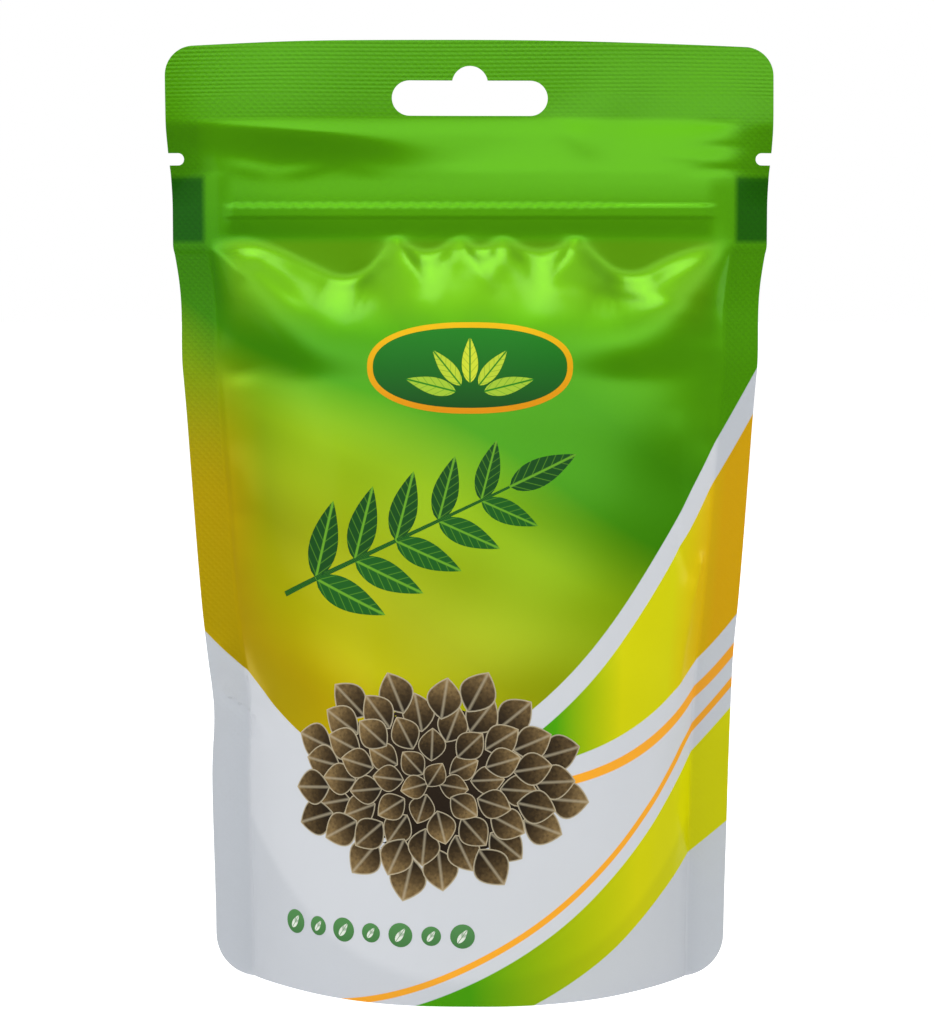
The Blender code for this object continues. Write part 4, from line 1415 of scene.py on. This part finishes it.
class POUCH_OT_sprig(bpy.types.Operator):
    """A leafy sprig across the front"""

    bl_idname = "pouch.sprig"
    bl_label = "Sprig"

    def execute(self, context):
        wall, inks = front_wall(context.scene.pouch_film), context.scene.pouch_print
        look = leaf_ink("sprig_ink", inks.dark_green, linear("#12600F"), linear("#5E9A1A"), 7)
        lay_sprig("sprig", wall, SPRIG_FOOT, SPRIG_TIP, 16.0, 0.03, look)
        return {"FINISHED"}


# The rosette: scales set out by the golden angle, from its middle outwards, in mm
ROSETTE = np.array([-8.0, 46.0])
ROSETTE_SCALES = 60
ROSETTE_PITCH = 3.05
ROSETTE_AXES = np.array([1.24, 0.78])
ROSETTE_TIERS = 6
GOLDEN_ANGLE = math.radians(137.508)


class POUCH_OT_rosette(bpy.types.Operator):
    """A rosette of brown pointed scales, low on the front"""

    bl_idname = "pouch.rosette"
    bl_label = "Rosette"

    def execute(self, context):
        wall = front_wall(context.scene.pouch_film)
        number = np.arange(ROSETTE_SCALES, 0, -1) - 0.5
        angle = number * GOLDEN_ANGLE
        ray = np.stack((np.cos(angle), np.sin(angle)), axis=-1) * ROSETTE_AXES
        places = ROSETTE + ray * (ROSETTE_PITCH * np.sqrt(number) - 3.4)[:, None]
        turns = np.arctan2(ray[:, 1], ray[:, 0])
        scale = leaf_outline(0.42, 12, 0.95)
        outlines = set_out(scale, places, 5.4 + 0.5 * np.sqrt(number), turns)
        tones = np.random.default_rng(4).uniform(0, 1, ROSETTE_SCALES)
        oval = oval_outline(48)
        outer = oval * ROSETTE_AXES * 19.5 + ROSETTE
        ground = flat_ink("dark_brown_ink", linear("#1E1408"), linear("#2A1D0D"))
        ink_piece("rosette_ground", wall, outer[None], oval / 2, 14, 0.02, ground)
        look = scale_ink("brown_ink")
        for tier in range(ROSETTE_TIERS):
            picked = slice(tier, None, ROSETTE_TIERS)
            lift = 0.03 + 0.01 * tier
            ink_piece(f"rosette_{tier}", wall, outlines[picked], scale, 4, lift, look, tones[picked])
        return {"FINISHED"}


# The row of discs: how many, from where to where, at what height, in mm
DISCS = 7
DISC_ENDS = (-39.5, -1.5)
DISC_LEVEL = 14.5


class POUCH_OT_discs(bpy.types.Operator):
    """A row of plain green discs near the foot, a small leaf on each"""

    bl_idname = "pouch.discs"
    bl_label = "Discs"

    def execute(self, context):
        wall, inks = front_wall(context.scene.pouch_film), context.scene.pouch_print
        x = np.linspace(*DISC_ENDS, DISCS)
        places = np.stack((x, np.full(DISCS, DISC_LEVEL)), axis=-1)
        sizes = np.where(np.arange(DISCS) % 2 == 0, 2.5, 2.0)
        disc = oval_outline(32)
        ground = flat_ink("leaf_green_ink", inks.leaf_green, linear("#4C8548"))
        ink_piece("discs", wall, set_out(disc, places, sizes, 0 * x), disc / 2, 3, 0.03, ground)
        leaf = leaf_outline(0.2, 8)
        turns = np.full(DISCS, math.radians(55))
        starts = places - np.stack((np.cos(turns), np.sin(turns)), axis=-1) * (sizes * 0.7)[:, None]
        look = leaf_ink("pale_ink", linear("#C9D2C4"), linear("#D8DDD2"), inks.leaf_green, 0.5)
        ink_piece("disc_leaves", wall, set_out(leaf, starts, sizes * 1.4, turns), leaf, 2, 0.045, look)
        return {"FINISHED"}


# The plain panel on the back: its middle and half sides, in mm
PANEL = np.array([0.0, 102.0])
PANEL_HALVES = np.array([35.0, 30.0])


class POUCH_OT_panel(bpy.types.Operator):
    """A plain white panel with a thin green border and a sprig, on the back"""

    bl_idname = "pouch.panel"
    bl_label = "Back panel"

    def execute(self, context):
        wall, inks = back_wall(context.scene.pouch_film), context.scene.pouch_print
        shape = evened(oval_outline(4000, 9.0) * PANEL_HALVES, 200) / PANEL_HALVES
        border = flat_ink("border_ink", inks.dark_green, inks.dark_green)
        white = flat_ink("panel_white_ink", inks.pearl, linear("#DDDFE2"))
        ink_piece("panel_border", wall, (shape * PANEL_HALVES + PANEL)[None], shape / 2, 40, 0.03, border)
        inner = shape * (PANEL_HALVES - 0.8) + PANEL
        ink_piece("panel_ground", wall, inner[None], shape / 2, 40, 0.05, white)
        look = leaf_ink("panel_sprig_ink", inks.dark_green, linear("#12600F"), linear("#5E9A1A"), 7)
        lay_sprig("panel_sprig", wall, (-22.0, 92.0), (20.0, 108.0), 11.0, 0.07, look)
        return {"FINISHED"}


def aim(thing, target):
    """Turns a lamp or camera so that it looks from where it is to a point."""
    away = np.array(target) - np.array(thing.location)
    thing.rotation_euler = (
        math.atan2(math.hypot(away[0], away[1]), -away[2]), 0.0,
        math.atan2(away[1], away[0]) - math.pi / 2
    )


# Lamps: name, place, width, height, watts, and whether the film's soft mirror sees it. Each looks at the
# pouch's middle.
LAMPS = (
    ("top_softbox", (-0.03, -0.39, 0.80), 0.42, 0.36, 1.05, True),
    ("front_softbox", (-0.45, -1.00, 1.05), 1.10, 0.60, 4.3, False),
    ("left_softbox", (-0.62, -0.42, 0.28), 0.50, 0.50, 0.19, True),
    ("right_softbox", (0.80, 0.05, 0.30), 0.25, 0.60, 0.3, True),
    ("back_softbox", (0.0, 0.75, 0.60), 0.60, 0.50, 1.0, True),
)
LOOK_AT = (0.0, 0.0, 0.10)
# How light the surround is, from straight down (0) past the horizon (0.5) to straight up (1)
SURROUND = (
    (0.00, 0.10), (0.48, 0.12), (0.53, 0.28), (0.59, 0.74), (0.66, 1.10), (0.74, 0.92), (0.82, 0.48),
    (1.00, 0.26)
)
CAMERA_HEIGHT = 0.1517
CAMERA_SIDE = -0.0005
CAMERA_PITCH = math.radians(5.10)
FLOOR_REACH = 6.0
COVE_HEIGHT = 3.0
COVE_SIDES = 64


def painted_board(name, colour):
    """Matt painted board: rolled on, so even and without shine, and lit enough to stay pale far out."""
    look, add = new_material(name)
    place = add("TexCoord", out="Object")
    stipple = add("TexNoise", {"Vector": place, "Scale": 400.0, "Detail": 2.0})
    bump = add("Bump", {"Height": stipple, "Distance": 0.05 * MM, "Strength": 0.2})
    board = add(
        "BsdfPrincipled",
        {
            "Base Color": colour, "Roughness": 0.9, "Specular IOR Level": 0.1, "Normal": bump,
            "Emission Color": colour, "Emission Strength": 0.76
        }
    )
    add("OutputMaterial", {0: board})
    return look


def lay_floor(colour):
    """The floor. The film's soft mirror doesn't see it, so that folds which face down stay dark, as they do
    over the dark table top of a studio."""
    corners = np.array([(-1.0, -1.0), (1.0, -1.0), (1.0, 1.0), (-1.0, 1.0)]) * FLOOR_REACH
    points = np.concatenate((corners, np.full((4, 1), -0.05 * MM)), axis=1)
    board = painted_board("painted_board", colour)
    floor = mesh_piece("floor", points, [np.array([[0, 1, 2, 3]])], [0], [board])
    floor.visible_glossy = False


def raise_cove():
    """The white cove round the floor, a plain ring wall. It is far enough off to light nothing, so only the
    camera sees it."""
    turn = np.linspace(0, 2 * math.pi, COVE_SIDES, endpoint=False)
    ring = np.stack((np.cos(turn), np.sin(turn)), axis=-1) * FLOOR_REACH * 0.98
    levels = np.array([-0.05 * MM, COVE_HEIGHT])
    points = np.stack([np.column_stack((ring, np.full(COVE_SIDES, level))) for level in levels])
    ids = lattice(2, COVE_SIDES)
    faces = quads(np.concatenate((ids, ids[:, :1]), axis=1))[:, ::-1]
    look, add = new_material("white_cove")
    glow = add("Emission", {"Color": (1.0, 1.0, 1.0), "Strength": 1.0})
    add("OutputMaterial", {0: glow})
    cove = mesh_piece("cove", points, [faces], [0], [look])
    cove.visible_glossy = False
    cove.visible_diffuse = False
    cove.visible_transmission = False
    cove.visible_shadow = False


def hang_lamps(scene, strength):
    """The soft boxes, plain rectangles of light."""
    for name, place, width, height, power, mirrored in LAMPS:
        lamp = bpy.data.lights.new(name, "AREA")
        lamp.shape = "RECTANGLE"
        lamp.size, lamp.size_y = width, height
        lamp.energy = power * strength
        thing = bpy.data.objects.new(name, lamp)
        thing.location = place
        thing.visible_glossy = mirrored
        aim(thing, LOOK_AT)
        scene.collection.objects.link(thing)


def bright_surround(scene):
    """Soft light from above the horizon and little from below it, by the height of the direction."""
    world = bpy.data.worlds.new("surround")
    world.use_nodes = True
    world.node_tree.nodes.clear()
    add = partial(add_node, world.node_tree)
    direction = add("TexCoord")
    height = add("SeparateXYZ", {0: direction}, out=2)
    share = add("MapRange", {"Value": height, "From Min": -1.0, "From Max": 1.0})
    stops = [(place, (tone,) * 3) for place, tone in SURROUND]
    sky = add("ValToRGB", {0: share}, stops=stops)
    light = add("Background", {"Color": sky, "Strength": 1.0})
    add("OutputWorld", {0: light})
    scene.world = world


def set_camera(scene, settings):
    """The camera, level with the pouch's upper half and pitched down a little."""
    data = bpy.data.cameras.new("camera")
    data.lens = settings.lens
    data.sensor_width = 36.0
    camera = bpy.data.objects.new("camera", data)
    camera.location = (CAMERA_SIDE, -settings.distance, CAMERA_HEIGHT)
    camera.rotation_euler = (math.pi / 2 - CAMERA_PITCH, 0.0, 0.0)
    scene.collection.objects.link(camera)
    scene.camera = camera


class POUCH_OT_stage(bpy.types.Operator):
    """A pale floor, soft boxes, an even bright surround and the camera"""

    bl_idname = "pouch.stage"
    bl_label = "Stage"

    def execute(self, context):
        scene = context.scene
        settings = scene.pouch_stage
        lay_floor(settings.floor)
        raise_cove()
        hang_lamps(scene, settings.light)
        bright_surround(scene)
        scene.view_settings.view_transform = "Standard"
        scene.view_settings.look = "None"
        set_camera(scene, settings)
        return {"FINISHED"}


OPERATORS = (
    POUCH_OT_front, POUCH_OT_back, POUCH_OT_gusset, POUCH_OT_zip, POUCH_OT_seeds, POUCH_OT_medallion,
    POUCH_OT_sprig, POUCH_OT_rosette, POUCH_OT_discs, POUCH_OT_panel, POUCH_OT_stage
)
SETTINGS = (
    ("pouch_film", FilmSettings), ("pouch_print", PrintColours), ("pouch_seeds", SeedSettings),
    ("pouch_stage", StageSettings)
)


class POUCH_PT_panel(bpy.types.Panel):
    """The pouch's pieces and their settings"""

    bl_idname = "POUCH_PT_panel"
    bl_label = "Seed pouch"
    bl_space_type = "VIEW_3D"
    bl_region_type = "UI"
    bl_category = "Pouch"

    def draw(self, context):
        for key, group in SETTINGS:
            box = self.layout.box()
            box.label(text=group.__doc__)
            for setting in group.__annotations__:
                box.prop(getattr(context.scene, key), setting)
        for operator in OPERATORS:
            self.layout.operator(operator.bl_idname)


def register():
    for _, group in SETTINGS:
        bpy.utils.register_class(group)
    for operator in OPERATORS:
        bpy.utils.register_class(operator)
    bpy.utils.register_class(POUCH_PT_panel)
    for key, group in SETTINGS:
        setattr(bpy.types.Scene, key, PointerProperty(type=group))


def unregister():
    for key, _ in SETTINGS:
        delattr(bpy.types.Scene, key)
    bpy.utils.unregister_class(POUCH_PT_panel)
    for operator in reversed(OPERATORS):
        bpy.utils.unregister_class(operator)
    for _, group in reversed(SETTINGS):
        bpy.utils.unregister_class(group)


def main():
    """Makes every piece in turn."""
    register()
    for operator in OPERATORS:
        group, word = operator.bl_idname.split(".")
        getattr(getattr(bpy.ops, group), word)()
    bpy.context.view_layer.update()


if __name__ == "__main__":
    main()
